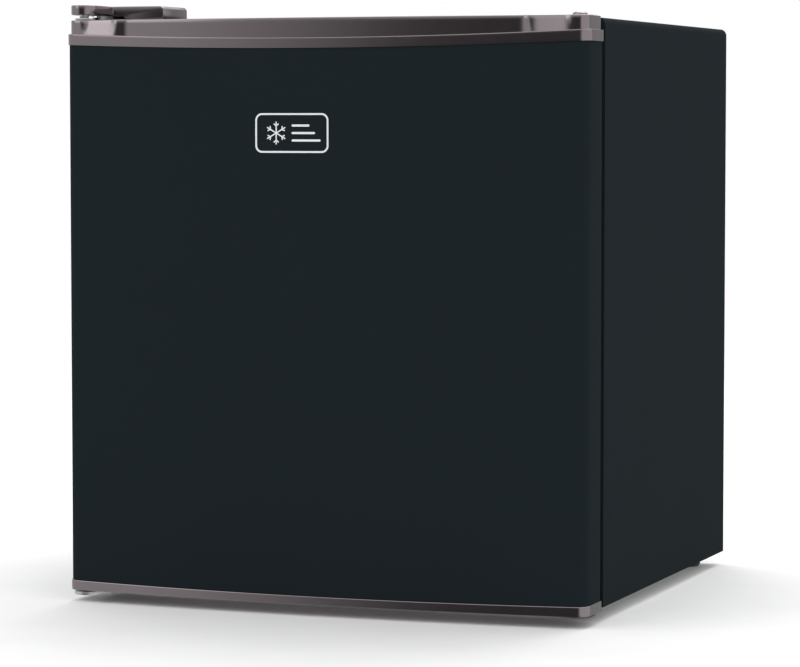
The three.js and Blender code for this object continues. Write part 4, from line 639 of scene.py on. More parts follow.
# %% [markdown]
# The top trim of the door. It is one moulding with two bands: a lip that stands a little proud of the
# sheet, and above it a band that is scooped out between two end blocks, so that fingertips find it. The
# lip and its crease sag in the middle, like a smile. The trim is skinned ring by ring: each ring is the
# outline at one height, and a point's height and setback depend on how far along the front it is.
# %% Top trim
_, (_, _, DOOR_TOP) = corners("door_top_cap")
LIP_PROUD = 1 * MM
SAG = 5.2 * MM
BAND_EDGE = 11.5 * MM
LIP_EDGE = 9.5 * MM
LIP_MIDDLE = 8.8 * MM
GRIP_HALF = HALF - 51 * MM
GRIP_DEPTH = 2.6 * MM
BLOCK_END = HALF - 17 * MM
LEAN = 2.2 * MM


def blend_step(value, low, high):
    t = min(1.0, max(0.0, (value - low) / (high - low)))
    return t * t * (3 - 2 * t)


def crease(x):
    """Height where the lip meets the band."""
    share = (x / HALF) ** 2
    return DOOR_TOP - BAND_EDGE - SAG * (1 - share)


def lip_foot(x):
    share = (x / HALF) ** 2
    return crease(x) - LIP_MIDDLE - (LIP_EDGE - LIP_MIDDLE) * share


def trim_ring(setback, height, back_inset=0.0):
    """One ring round the door: setback(x) from the outline and height(x)."""
    plan = door_front(0, 144, 12)
    ring = []
    for index, (x, y) in enumerate(plan):
        before, after = plan[max(index - 1, 0)], plan[min(index + 1, len(plan) - 1)]
        if index in (0, len(plan) - 1):
            inward = Vector((1.0 if x < 0 else -1.0, 0))
        else:
            along = Vector((after[0] - before[0], after[1] - before[1])).normalized()
            inward = Vector((-along.y, along.x))
        moved = Vector((x, y)) + inward * setback(x)
        ring.append((moved.x, moved.y, height(x)))
    left, right = ring[0], ring[-1]
    return ring + [(right[0], DOOR_BACK - back_inset, right[2]),
                   (left[0], DOOR_BACK - back_inset, left[2])]


def scoop(x):
    """How far the band is set back between its end blocks."""
    return GRIP_DEPTH * (1 - blend_step(abs(x), GRIP_HALF - 5 * MM, GRIP_HALF + 5 * MM))


def lean(x):
    """The two end blocks of the band lean back as they rise, and nothing else does."""
    rise = blend_step(abs(x), GRIP_HALF + 2 * MM, GRIP_HALF + 8 * MM)
    return LEAN * rise * (1 - blend_step(abs(x), BLOCK_END - 2 * MM, BLOCK_END + 2 * MM))


def top_trim():
    band_setback = 1.5 * MM
    lip = [(2.2, 0.0, 1.2), (-0.75, 0.0, 0.4), (-0.93, 0.08, 0.4), (-1.0, 0.28, 0.4)]
    rings = [trim_ring(lambda x, s=s: s * MM, lambda x, h=h: lip_foot(x) + h * MM, b * MM)
             for s, h, b in lip]
    for share in (0.25, 0.5, 0.72):
        rings.append(trim_ring(lambda x: -LIP_PROUD, lambda x, t=share: lip_foot(x)
                               + t * (crease(x) - lip_foot(x))))
    for s, drop in [(-1.0, 0.7), (-0.93, 0.3), (-0.7, 0.1), (0.5, 0.02)]:
        rings.append(trim_ring(lambda x, s=s: s * MM, lambda x, d=drop: crease(x) - d * MM))
    for index in range(5):
        share = index / 4
        rings.append(trim_ring(
            lambda x, t=share: band_setback + lean(x) * t + scoop(x),
            lambda x, t=share: crease(x) + 0.15 * MM + t * (DOOR_TOP - 0.75 * MM - crease(x))))
    for s, drop in [(0.08, 0.35), (0.28, 0.12), (0.6, 0.0)]:
        rings.append(trim_ring(
            lambda x, s=s: band_setback + lean(x) + s * MM + scoop(x),
            lambda x, d=drop: DOOR_TOP - d * MM, s * MM * 0.5))
    return loft("top_trim", rings)


def pin_holes(piece, low, high):
    """Bores the hinge hole at each side, between two heights."""
    for side in (1, -1):
        cut(piece, turned("hole", [[0, low], [HOLE_RADIUS, low], [HOLE_RADIUS, high], [0, high]],
                          (side * PIN_X, PIN_Y, 0)))
    return piece


PIN_X, PIN_Y, HOLE_RADIUS = -223 * MM, -196.5 * MM, 7.2 * MM
fitted(pin_holes(top_trim(), 470 * MM, 520 * MM), "door", "metallic_trim", "door_top_cap", angle=40)

# %% [markdown]
# The bottom trim of the door is the same lip without a band: it caps the sheet's lower edge, and its
# upper edge sags a little in the middle.
# %% Bottom trim
(_, _, BOTTOM), _ = corners("door_bottom_cap")


def bottom_trim():
    def rim(x):
        return BOTTOM + (8.7 - 1.5 * (1 - (x / HALF) ** 2)) * MM

    rings = [trim_ring(lambda x, s=s: s * MM, lambda x, h=h: BOTTOM + h * MM, b * MM)
             for s, h, b in [(1.2, 0.0, 0.6), (-0.4, 0.0, 0.3), (-0.8, 0.15, 0), (-0.97, 0.5, 0),
                             (-1.0, 1.4, 0)]]
    for s, drop in [(-1.0, 3.0), (-1.0, 0.8), (-0.93, 0.3), (-0.7, 0.08), (0.3, 0.0)]:
        rings.append(trim_ring(lambda x, s=s: s * MM, lambda x, d=drop: rim(x) - d * MM))
    return loft("bottom_trim", rings)


fitted(pin_holes(bottom_trim(), 0, 30 * MM), "door", "metallic_trim", "door_bottom_cap", angle=40)

# %% [markdown]
# The cabinet's wrapper is one painted sheet folded over the top and down both sides, with a border
# that closes the front round the compartment. The two long top edges have a folded radius, which is
# what catches the light along the cabinet.
# %% Cabinet wrapper
(CAB_LEFT, CAB_FRONT, CAB_FOOT), (CAB_RIGHT, CAB_BACK, CAB_TOP) = corners("cabinet_wrapper")
LINER_LOW, LINER_HIGH = corners("inner_liner")
FOLD_RADIUS = 6 * MM


def arch(left, right, foot, top, radius):
    """Up the left side, over two rounded corners and down the right side."""
    return ([(left, foot)] + arc(left + radius, top - radius, radius, 180, 90, 8)
            + arc(right - radius, top - radius, radius, 90, 0, 8) + [(right, foot)])


def wrapper():
    sheet, gap = 0.8 * MM, 0.3 * MM
    outer = arch(CAB_LEFT, CAB_RIGHT, CAB_FOOT, CAB_TOP, FOLD_RADIUS)
    inner = arch(CAB_LEFT + sheet, CAB_RIGHT - sheet, CAB_FOOT, CAB_TOP - sheet,
                 FOLD_RADIUS - sheet)
    shell = prism("cabinet_wrap", outer + inner[::-1], CAB_FRONT, CAB_BACK, "y")
    border = prism("border", outer, CAB_FRONT, CAB_FRONT + sheet, "y")
    opening = prism("opening", rounded(LINER_LOW[0] - gap, LINER_HIGH[0] + gap, LINER_LOW[2] - gap,
                                       LINER_HIGH[2] + gap, 13.5 * MM),
                    CAB_FRONT - MM, CAB_FRONT + 2 * MM, "y")
    return fuse(shell, cut(border, opening))


fitted(wrapper(), "cabinet", "painted_black", "cabinet_wrapper", angle=25)

# %% [markdown]
# The hinge cover. It is a thin moulded cap over the steel hinge: a low box on the cabinet, with an arm
# that reaches forward to the pin and ends round. The box is its front view carried back, which gives
# its inner side a round shoulder. The arm is its plan carried upwards, and it starts higher, so that the
# bracket can pass under it to the door. The edges are eased before the inside is hollowed out.
# %% Top hinge cover
COVER_LOW, COVER_HIGH = corners("top_hinge_cover")
ARM_RADIUS = PIN_Y - COVER_LOW[1]
ARM_FLOOR = COVER_LOW[2] + 5.5 * MM


def hinge_cover():
    low, high = COVER_LOW[2], COVER_HIGH[2]
    left, right, back = -HALF + 2 * MM, COVER_HIGH[0], COVER_HIGH[1]
    shoulder = 3.5 * MM
    front_view = [(left, low), (right, low)] + arc(
        right - shoulder, high - shoulder, shoulder, 0, 90, 8) + [(left, high)]
    body = prism("hinge_cover", front_view, CAB_FRONT, back, "y")
    arm = prism("arm", [(PIN_X + ARM_RADIUS, CAB_FRONT + 6 * MM),
                        (PIN_X - ARM_RADIUS, CAB_FRONT + 6 * MM),
                        *arc(PIN_X, PIN_Y, ARM_RADIUS, 180, 360, 40)], ARM_FLOOR, high)
    fuse(body, arm)
    eased(body, 0.7 * MM, 3)
    wall = 1.5 * MM
    hollow = block("hollow", (left + wall, CAB_FRONT + wall, low - MM),
                   (right - wall, back - wall, high - 3 * MM))
    socket = prism("socket", [(PIN_X + ARM_RADIUS - wall, CAB_FRONT + 9 * MM),
                              (PIN_X - ARM_RADIUS + wall, CAB_FRONT + 9 * MM),
                              *arc(PIN_X, PIN_Y, ARM_RADIUS - wall, 180, 360, 32)],
                   ARM_FLOOR - MM, high - 2 * MM)
    notch = block("notch", (left + 3 * MM, CAB_FRONT - MM, low - MM),
                  (left + 31 * MM, CAB_FRONT + 4 * MM, low + 5.2 * MM))
    return cut(body, hollow, socket, notch)


fitted(hinge_cover(), "cabinet", "metallic_trim", "top_hinge_cover", angle=40)

# %% [markdown]
# Screws. A pan-head screw is a small turned profile with a cross cut into its head. The cross is cut
# once with a Boolean, and Geometry Nodes places a copy of it at each point it is given, so the two
# screws of each hinge come from one recipe with named inputs.
# %% Screw recipe in Geometry Nodes
HEAD_HEIGHT = 2.6 * MM


def screw_mesh():
    head = turned("screw_head", [[0, -9 * MM], [2.5 * MM, -9 * MM], [2.5 * MM, 0], [5 * MM, 0],
                                 [5 * MM, 1.0 * MM], [4.6 * MM, 1.75 * MM], [3.6 * MM, 2.35 * MM],
                                 [2 * MM, HEAD_HEIGHT], [0, HEAD_HEIGHT]], (0, 0, 0), "z", 32)
    for low, high in (((-2.6, -0.45, 1.3), (2.6, 0.45, 4)), ((-0.45, -2.6, 1.3), (0.45, 2.6, 4))):
        cut(head, block("slot", [v * MM for v in low], [v * MM for v in high]))
    return head


SCREW = screw_mesh()
SCREW.hide_render = True


def copies_recipe():
    """One copy of an object on every point, tilted, and turned about Z by a seed."""
    made = Recipe("copies_on_points", {"Points": "Geometry", "Copied object": "Object",
                                       "Tilt": "Vector", "Seed": "Int"})
    source = made.node("GeometryNodeObjectInfo", None, {"Object": made.given("Copied object")},
                       output="Geometry")
    placed = made.node("GeometryNodeInstanceOnPoints", None,
                       {"Points": made.given("Points"), "Instance": source,
                        "Rotation": made.given("Tilt")})
    spin = made.node("FunctionNodeRandomValue", {"data_type": "FLOAT_VECTOR"},
                     {"Min": (0, 0, 0), "Max": (0, 0, math.tau), "Seed": made.given("Seed")})
    return made.deliver(made.node("GeometryNodeRotateInstances", None,
                                  {"Instances": placed, "Rotation": spin}))


COPIES = copies_recipe()


def screw(name, seat, seed, tilt=0):
    """One screw with its head's underside at seat, turned about its own axis by its seed."""
    mesh = bpy.data.meshes.new(name)
    mesh.from_pydata([seat], [], [])
    made = as_object(name, mesh)
    modifier = made.modifiers.new("copies", "NODES")
    modifier.node_group = COPIES
    set_inputs(modifier, {"Copied object": SCREW, "Tilt": (tilt, 0, 0), "Seed": seed,
                          "Finish": FINISH["bare_steel"]})
    bpy.context.view_layer.update()
    return plain_mesh(made)


for index in (1, 2):
    for node, name, tilt in ((f"top_hinge_screw_{index}", f"hinge_screw_{index}", 0),
                             (f"lower_hinge_screw_{index}", f"base_screw_{index}", math.pi)):
        low, high = corners(node)
        x, y, _ = centre_of(node)
        seat = (x, y, low[2] + HEAD_HEIGHT if tilt else high[2] - HEAD_HEIGHT)
        fitted(screw(name, seat, index, tilt), "cabinet", "bare_steel", node)

# %% [markdown]
# The badge. A thin plate follows the bow of the door: a bright rim runs round a dark field, and a plain
# snowflake stands in it with three lines for shelves. The plate is bent by moving each of its points
# onto the door's curve, so it keeps the same small gap to the sheet along its whole length.
# %% Badge
BADGE_LOW, BADGE_HIGH = corners("badge")


def follow_bow(piece):
    """Moves points drawn at y = depth onto the bowed front, that depth ahead of the sheet.

    Depth is drawn along +Y but laid towards -Y. That mirrors the piece, so its faces are turned over.
    """
    for vertex in piece.data.vertices:
        radius = BOW_RADIUS + vertex.co.y
        angle = vertex.co.x / BOW_RADIUS
        vertex.co = Vector((radius * math.sin(angle), BOW_CENTRE - radius * math.cos(angle),
                            vertex.co.z))
    piece.data.flip_normals()
    return piece


def badge_layer(name, back, front):
    """The badge's full outline, cut in narrow upright slices so that it can bend."""
    x0, x1 = BADGE_LOW[0], BADGE_HIGH[0]
    plate = prism(name, rounded(x0, x1, BADGE_LOW[2], BADGE_HIGH[2], 6 * MM, 10), back, front, "y")
    work = bmesh.new()
    work.from_mesh(plate.data)
    slices = 12
    for step in range(1, slices):
        x = x0 + (x1 - x0) * step / slices
        bmesh.ops.bisect_plane(work, geom=work.verts[:] + work.edges[:] + work.faces[:],
                               plane_co=(x, 0, 0), plane_no=(1, 0, 0))
    work.to_mesh(plate.data)
    work.free()
    return plate


def badge_field():
    return follow_bow(badge_layer("badge_plate", 0.1 * MM, 0.42 * MM))


def heading(degrees):
    return Vector((math.cos(math.radians(degrees)), math.sin(math.radians(degrees))))


def stroke(start, way, length, width=1.0 * MM, back=0.4 * MM, front=0.66 * MM):
    """One straight bar in an upright plane, from start along way."""
    side = Vector((-way.y, way.x)) * 0.5 * width
    end = start + way * length
    outline = [start - side, end - side, end + side, start + side]
    return prism("stroke", [tuple(p) for p in outline], back, front, "y")


def badge_marks():
    x0, x1, z0, z1 = BADGE_LOW[0], BADGE_HIGH[0], BADGE_LOW[2], BADGE_HIGH[2]
    rim = badge_layer("badge_marks", 0.4 * MM, 0.68 * MM)
    edge = 1.5 * MM
    cut(rim, prism("field", rounded(x0 + edge, x1 - edge, z0 + edge, z1 - edge, 4.6 * MM, 10),
                   0, 2 * MM, "y"))
    marks = [rim]
    centre, arm = Vector((x0 + 19 * MM, 0.5 * (z0 + z1))), 9.5 * MM
    for spoke in range(3):
        way = heading(60 * spoke + 30)
        marks.append(stroke(centre - way * arm, way, 2 * arm))
    for branch in range(6):
        fork = centre + heading(60 * branch + 30) * 0.62 * arm
        marks += [stroke(fork, heading(60 * branch + 30 + turn), 0.3 * arm) for turn in (50, -50)]
    for row in range(3):
        z = centre.y + (row - 1) * 6.2 * MM
        marks.append(prism("bar", rounded(x0 + 33 * MM, x1 - (7 + 5 * row) * MM, z - 0.9 * MM,
                                          z + 0.9 * MM, 0.85 * MM, 4), 0.4 * MM, 0.66 * MM, "y"))
    return follow_bow(joined("badge_marks", marks))


fitted(badge_field(), "door", "badge_metal", finish=FINISH["painted_black"])
fitted(badge_marks(), "door", "badge_metal", "badge")

# %% [markdown]
# The inner liner is one sheet of white plastic, drawn into a mould by vacuum, so its corners are round
# and wide. Here the empty space is modelled first, as a rounded block with a step over the machine bay,
# and the liner is what is left between that space and the same space grown by one wall. The ledges for
# the shelf are joined on afterwards.
# %% Inner liner
STEP_FRONT, STEP_TOP = 29 * MM, 210 * MM
CAVITY_HALF, CAVITY_FLOOR, CAVITY_TOP, CAVITY_BACK = 197 * MM, 52 * MM, 462 * MM, 180 * MM
LEDGES = (222 * MM, 289 * MM)


def cavity_space(name, grow, front):
    half, top, round_ = CAVITY_HALF + grow, CAVITY_TOP + grow, 12 * MM + grow
    deep = prism(name, rounded(-half, half, STEP_TOP - grow, top, round_),
                 front, CAVITY_BACK + grow, "y")
    low = prism("low", rounded(-half, half, CAVITY_FLOOR - grow, top, round_),
                front, STEP_FRONT + grow, "y")
    fuse(deep, low)
    return eased(deep, 5 * MM + grow, 4, 50)


def inner_liner():
    shell = cavity_space("fine_liner", 1.5 * MM, CAB_FRONT)
    rim = prism("rim", rounded(LINER_LOW[0], LINER_HIGH[0], LINER_LOW[2], LINER_HIGH[2], 13.2 * MM),
                CAB_FRONT, CAB_FRONT + 1.5 * MM, "y")
    fuse(shell, rim)
    cut(shell, cavity_space("space", 0, CAB_FRONT - 40 * MM))
    for top in LEDGES:
        for side in (1, -1):
            inner, wall = side * (CAVITY_HALF - 6 * MM), side * (CAVITY_HALF + 1.35 * MM)
            ledge = block("ledge", (min(inner, wall), -100.5 * MM, top - 4 * MM),
                          (max(inner, wall), 168 * MM, top))
            fuse(shell, eased(ledge, 1.2 * MM, 3))
    return shell


fitted(inner_liner(), "cabinet", "white_liner", "inner_liner", angle=30)

# %% [markdown]
# The door's lining is drawn from the same white sheet. Two upright ridges, called dykes, stand up from
# it. They stiffen the panel, fill the gap to the shelf when the door is shut and hold the two bins.
# %% Door lining
def dyke(side):
    outer, inner = side * 180 * MM, side * 165 * MM
    foot, head, waist = 62 * MM, 455 * MM, 297.3 * MM
    lower, upper, base = DOOR_BACK + 38 * MM, DOOR_BACK + 22 * MM, DOOR_BACK - 6 * MM
    profile = [(base, foot), (lower, foot + 14 * MM), (lower, waist), (upper, waist + 14 * MM),
               (upper, head - 14 * MM), (base, head)]
    ridge = eased(prism("dyke", profile, min(outer, inner), max(outer, inner), "x"), 3.2 * MM, 4)
    return cut(ridge, block("behind", (-HALF, base - MM, 0), (HALF, DOOR_BACK - 0.7 * MM, head + MM)))


def door_lining():
    low, high = corners("door_liner")
    panel = prism("door_lining", rounded(low[0], high[0], low[2], high[2], 6 * MM),
                  DOOR_BACK - 1.5 * MM, DOOR_BACK, "y")
    field = prism("field", rounded(-150 * MM, 150 * MM, 60 * MM, 455 * MM, 14 * MM),
                  DOOR_BACK - 0.7 * MM, DOOR_BACK + 5 * MM, "y")
    cut(panel, eased(field, 0.5 * MM, 2))
    return fuse(panel, dyke(1), dyke(-1))


fitted(door_lining(), "door", "white_liner", "door_liner", angle=30)

# %% [markdown]
# Door bins. Each is a clear styrene trough that lifts off the dykes. Its corners are generous, its rim
# is a plain upright band, and shallow upright flutes in the front keep the thin wall from drumming.
# %% Door bins
def door_bin(node):
    low, high = corners(node)
    wall, flutes = 2 * MM, 9
    body = eased(block(node + "_fine", low, high), 5 * MM, 5, 50)
    lid = block("lid", (low[0] - MM, low[1] - MM, high[2] - 6 * MM),
                (high[0] + MM, high[1] + MM, high[2] + 5 * MM))
    cut(body, lid)
    rim = prism("rim", rounded(low[0], high[0], low[1], high[1], 5 * MM), high[2] - 6.1 * MM,
                high[2])
    fuse(body, rim)
    space = eased(block("space", (low[0] + wall, low[1] + wall, low[2] + wall),
                        (high[0] - wall, high[1] - wall, high[2] + 30 * MM)), 3.5 * MM, 4, 50)
    cut(body, space)
    for index in range(flutes):
        x = low[0] + (high[0] - low[0]) * (index + 1) / (flutes + 1)
        flute = prism("flute", circle(x, high[1] + 5.0 * MM, 5.6 * MM, 20),
                      low[2] + 14 * MM, high[2] - 12 * MM)
        cut(body, flute)
    return body


for node in ("upper_door_bin", "lower_door_bin"):
    fitted(door_bin(node), "door", "clear_plastic", node)

# %% [markdown]
# The gasket is an extruded vinyl bellows with a magnet in its head. One section is carried round the
# door, and its four corners are mitred and welded, as they are in a real one.
# %% Gasket
def gasket():
    low, high = corners("door_gasket")
    back, front = low[1], high[1]
    deep = front - back
    section = [(0.0, 0.0), (0.0, 0.16), (0.10, 0.24), (0.06, 0.40), (0.0, 0.55), (0.0, 0.92),
               (0.08, 1.0), (0.5, 0.97), (0.92, 1.0), (1.0, 0.92), (1.0, 0.55), (0.94, 0.40),
               (0.90, 0.24), (1.0, 0.16), (1.0, 0.0), (0.6, 0.0), (0.55, 0.06), (0.45, 0.06),
               (0.4, 0.0)]
    rings = []
    for sx, sz in ((-1, -1), (1, -1), (1, 1), (-1, 1)):
        ring = []
        for across, out in section:
            inset = across * 18 * MM
            x = (low[0] + inset) if sx < 0 else (high[0] - inset)
            z = (low[2] + inset) if sz < 0 else (high[2] - inset)
            ring.append((x, back + out * deep, z))
        rings.append(ring)
    return loft("gasket", rings, closed_loop=True)


fitted(gasket(), "door", "gasket_vinyl", "door_gasket", angle=30)

# %% [markdown]
# The shelf: a plate of tempered glass with ground edges, and a white bar clipped on its front edge so
# that nothing rolls off.
# %% Shelf
def shelf_bar():
    low, high = corners("shelf_trim")
    middle = centre_of("shelf_trim")[2]
    outline = [(high[1], low[2])] + arc(low[1] + 5 * MM, middle, 5 * MM, 250, 110, 16) + [
        (high[1], high[2])]
    return eased(prism("shelf_bar", outline, low[0], high[0], "x"), 0.7 * MM, 2)


fitted(refined("shelf_glass", 0.8 * MM), "shelf", "shelf_glass", "shelf_glass")
fitted(shelf_bar(), "shelf", "white_liner", "shelf_trim")

# %% [markdown]
# The drip tray slides under the freezer box to catch what thaws. It is a shallow clear moulding with
# soft corners and a rim, made as a rim joined to a body with the space inside cut out. The two runners
# that carry it and the hanger of the freezer box are plain white mouldings.
# %% Drip tray
def tray():
    low, high = corners("drip_tray")
    rim = block("drip_tray_fine", (low[0], low[1], high[2] - 2 * MM), high)
    body = block("body", (low[0] + 5 * MM, low[1] + 5 * MM, low[2]),
                 (high[0] - 5 * MM, high[1] - 5 * MM, high[2] - MM))
    fuse(rim, eased(body, 3 * MM, 4, 50))
    eased(rim, 0.5 * MM, 2)
    space = block("space", (low[0] + 7 * MM, low[1] + 7 * MM, low[2] + 2 * MM),
                  (high[0] - 7 * MM, high[1] - 7 * MM, high[2] + 9 * MM))
    return cut(rim, eased(space, 2.4 * MM, 3, 50))


fitted(tray(), "drip_tray", "clear_plastic", "drip_tray")
for node in ("tray_runner_left", "tray_runner_right", "evaporator_hanger"):
    fitted(refined(node, 0.5 * MM), "cabinet", "white_liner", node)

# %% [markdown]
# The freezer box is two sheets of aluminium bonded together, with a channel blown up between them for
# the refrigerant. The channel is a zigzag line run through the pipe recipe, pressed flatter and half
# sunk in the sheet.
# A white frame closes the front edge, and a clear flap hangs in it on two stub pins.
# %% Freezer box
BOX_LOW, BOX_HIGH = corners("evaporator")


def freezer_box():
    wall = 1.5 * MM
    shell = prism("freezer_box", rounded(BOX_LOW[0], BOX_HIGH[0], BOX_LOW[2], BOX_HIGH[2],
                                         10 * MM, 12), BOX_LOW[1], BOX_HIGH[1], "y")
    space = prism("space", rounded(BOX_LOW[0] + wall, BOX_HIGH[0] - wall, BOX_LOW[2] + wall,
                                   BOX_HIGH[2] - wall, 8.5 * MM, 12),
                  BOX_LOW[1] - MM, BOX_HIGH[1] - wall, "y")
    return cut(shell, space)


def channel(name, corner_of, runs, first, last, near, far):
    """A zigzag channel on one face; corner_of turns (across, along) into a point on it."""
    points = []
    for run in range(runs):
        across = first + (last - first) * run / (runs - 1)
        ends = (near, far) if run % 2 == 0 else (far, near)
        points += [corner_of(across, end) for end in ends]
    return pipe(name, points, 2.1 * MM, 9 * MM, FINISH["evaporator_aluminium"], 6)


def flattened(piece, axis, level, keep):
    """Presses a pipe towards the sheet, so that it reads as a blown channel."""
    for vertex in piece.data.vertices:
        vertex.co[axis] = level + (vertex.co[axis] - level) * keep
    return piece


side_x, floor_z = BOX_HIGH[0] - 0.3 * MM, BOX_LOW[2] + 1.2 * MM
right_channel = flattened(channel(
    "right_channel", lambda a, b: (side_x, b, a), 5, BOX_LOW[2] + 16 * MM, BOX_HIGH[2] - 16 * MM,
    BOX_LOW[1] + 14 * MM, BOX_HIGH[1] - 14 * MM), 0, side_x, 0.6)
floor_channel = flattened(channel(
    "floor_channel", lambda a, b: (a, b, floor_z), 8, BOX_LOW[0] + 18 * MM, BOX_HIGH[0] - 18 * MM,
    BOX_LOW[1] + 16 * MM, BOX_HIGH[1] - 16 * MM), 2, floor_z, 0.6)
fitted(freezer_box(), "cabinet", "evaporator_aluminium", "evaporator", angle=30)
fitted(right_channel, "cabinet", "evaporator_aluminium", angle=50)
fitted(floor_channel, "cabinet", "evaporator_aluminium", angle=50)
fitted(refined("freezer_frame", 0.9 * MM), "cabinet", "white_liner", "freezer_frame")
fitted(refined("freezer_flap", 0.7 * MM), "freezer_flap", "clear_plastic", "freezer_flap")

# %% [markdown]
# The thermostat. A white housing hangs at the right of the freezer box, and its knob is a ribbed disc
# with a groove as its pointer. The scale round it is a row of small bars that stand a little proud of
# the housing, longer towards the cold end.
# %% Thermostat
KNOB_LOW, KNOB_HIGH = corners("thermostat_knob")
KNOB_X, _, KNOB_Z = centre_of("thermostat_knob")
KNOB_RADIUS = 18 * MM


def ribbed(x, y, radius, ribs, depth, steps):
    """A round outline with waves in it for fingers to grip."""
    outline = []
    for step in range(ribs * steps):
        angle = math.tau * step / (ribs * steps)
        reach = radius - depth * (1 + math.cos(ribs * angle))
        outline.append((x + reach * math.cos(angle), y + reach * math.sin(angle)))
    return outline


def knob():
    body = prism("knob", ribbed(KNOB_X, KNOB_Z, KNOB_RADIUS, 30, 0.35 * MM, 8),
                 KNOB_LOW[1] + 2.6 * MM, KNOB_LOW[1] + 14 * MM, "y")
    face = turned("face", [[0, 0], [13.5 * MM, 0], [15.6 * MM, 0.7 * MM], [16.8 * MM, 2.7 * MM],
                           [0, 2.7 * MM]], (KNOB_X, KNOB_LOW[1], KNOB_Z), "y", 64)
    stem = turned("stem", [[0, 13 * MM], [3 * MM, 13 * MM], [3 * MM, KNOB_HIGH[1] - KNOB_LOW[1]],
                           [0, KNOB_HIGH[1] - KNOB_LOW[1]]], (KNOB_X, KNOB_LOW[1], KNOB_Z), "y", 24)
    fuse(body, face, stem)
    groove = block("groove", (KNOB_X - 0.8 * MM, KNOB_LOW[1] - MM, KNOB_Z + 5 * MM),
                   (KNOB_X + 0.8 * MM, KNOB_LOW[1] + 0.6 * MM, KNOB_Z + 14.5 * MM))
    return cut(body, groove)


def dial_marks():
    low, _ = corners("thermostat_housing")
    marks = []
    for step in range(7):
        way = heading(210 - 40 * step)
        marks.append(stroke(Vector((KNOB_X, KNOB_Z)) + way * 19.6 * MM, way, (1.6 + 0.35 * step) * MM,
                            0.8 * MM, low[1] - 0.25 * MM, low[1] + 0.2 * MM))
    return joined("dial_marks", marks)


fitted(refined("thermostat_housing", 1.6 * MM, segments=4), "cabinet", "white_liner",
       "thermostat_housing", angle=40)
fitted(knob(), "thermostat_knob", "white_liner", "thermostat_knob", angle=30)
fitted(dial_marks(), "cabinet", "white_liner", finish=FINISH["black_plastic"])

# %% [markdown]
# The machine bay at the back. The compressor is two pressed shells welded round the middle, sitting on
# a plate with rubber feet. Its profile is turned, and the weld is a rounded bead on that profile.
# %% Compressor
PLATE_LOW, PLATE_HIGH = corners("compressor")
SHELL_X, SHELL_Y = -70 * MM, 142.25 * MM
SHELL_R = 52 * MM


def compressor():
    foot = PLATE_LOW[2] + 2.0 * MM
    height = 116 * MM
    seam = height * 0.45
    profile = [[0, 0], [26 * MM, 0]]
    profile += [[26 * MM + 25 * MM * math.sin(math.radians(a)),
                 24 * MM * (1 - math.cos(math.radians(a)))] for a in range(10, 91, 10)]
    profile += [[SHELL_R - 1 * MM, seam - 4 * MM], [SHELL_R - 0.2 * MM, seam - 2.8 * MM],
                [SHELL_R + 1.2 * MM, seam - 1.8 * MM], [SHELL_R + 1.4 * MM, seam],
                [SHELL_R + 1.2 * MM, seam + 1.8 * MM], [SHELL_R - 0.6 * MM, seam + 2.6 * MM],
                [SHELL_R - 1 * MM, seam + 4 * MM]]
    profile += [[(SHELL_R - 1 * MM) * math.cos(math.radians(a)) ** 0.55,
                 height - 36 * MM + 36 * MM * math.sin(math.radians(a))] for a in range(0, 90, 6)]
    profile += [[0, height]]
    shell = turned("compressor_shell", profile, (SHELL_X, SHELL_Y, foot), "z", 72)
    plate = prism("plate", rounded(PLATE_LOW[0], PLATE_HIGH[0], PLATE_LOW[1], PLATE_HIGH[1],
                                   12 * MM), PLATE_LOW[2], PLATE_LOW[2] + 2.5 * MM)
    stub = turned("stub", [[0, 90 * MM], [3 * MM, 90 * MM], [3 * MM, 126 * MM],
                           [2.2 * MM, PLATE_HIGH[2] - foot], [0, PLATE_HIGH[2] - foot]],
                  (SHELL_X + 20 * MM, SHELL_Y - 15 * MM, foot), "z", 24)
    return fuse(shell, plate, stub)


fitted(compressor(), "cabinet", "compressor_paint", "compressor", angle=35)


def grommet(index):
    """A closed rubber ring: its section is carried round the screw hole in its middle."""
    low, _ = corners(f"compressor_grommet_{index}")
    centre = Vector((*centre_of(f"compressor_grommet_{index}")[:2], low[2]))
    section = [(3, 0), (8.4, 0), (9, 0.6), (9, 3), (7.2, 4.2), (7.0, 5.5), (7.2, 6.8), (9, 8),
               (9, 10.4), (8.4, 11), (3, 11)]
    rings = [[centre + Vector((r * math.cos(a), r * math.sin(a), h)) * MM
              for a in [math.tau * k / 40 for k in range(40)]] for r, h in section]
    return loft(f"grommet_{index}", rings, closed_loop=True)


for index in range(1, 5):
    fitted(grommet(index), "cabinet", "rubber", f"compressor_grommet_{index}", angle=40)
fitted(refined("relay_cover", 1.5 * MM, segments=3), "cabinet", "black_plastic", "relay_cover")

# %% [markdown]
# The pipework. Each run is a short list of turning points through the pipe recipe: the discharge line
# from the compressor to the coil in the side wall, the suction line up into the wall, and the liquid
# line with its drier, a fat copper cartridge drawn down at both ends.
# %% Pipework
COPPER = FINISH["copper"]


def around_shell(radius, degrees, z):
    angle = math.radians(degrees)
    return (SHELL_X + radius * MM * math.cos(angle), SHELL_Y + radius * MM * math.sin(angle),
            z * MM)


def mm(*values):
    return tuple(v * MM for v in values)


discharge = pipe("discharge_line", [
    around_shell(49, 60, 99.1), around_shell(67, 60, 100.5), mm(26, 184.25, 103),
    mm(142, 160.25, 99.1), mm(204.5, 188.5, 102), mm(230.2, 192.5, 116), mm(230.2, 192.5, 131.5)],
    2.4 * MM, 14 * MM, COPPER)
fitted(discharge, "cabinet", "copper", "discharge_tube", angle=50)


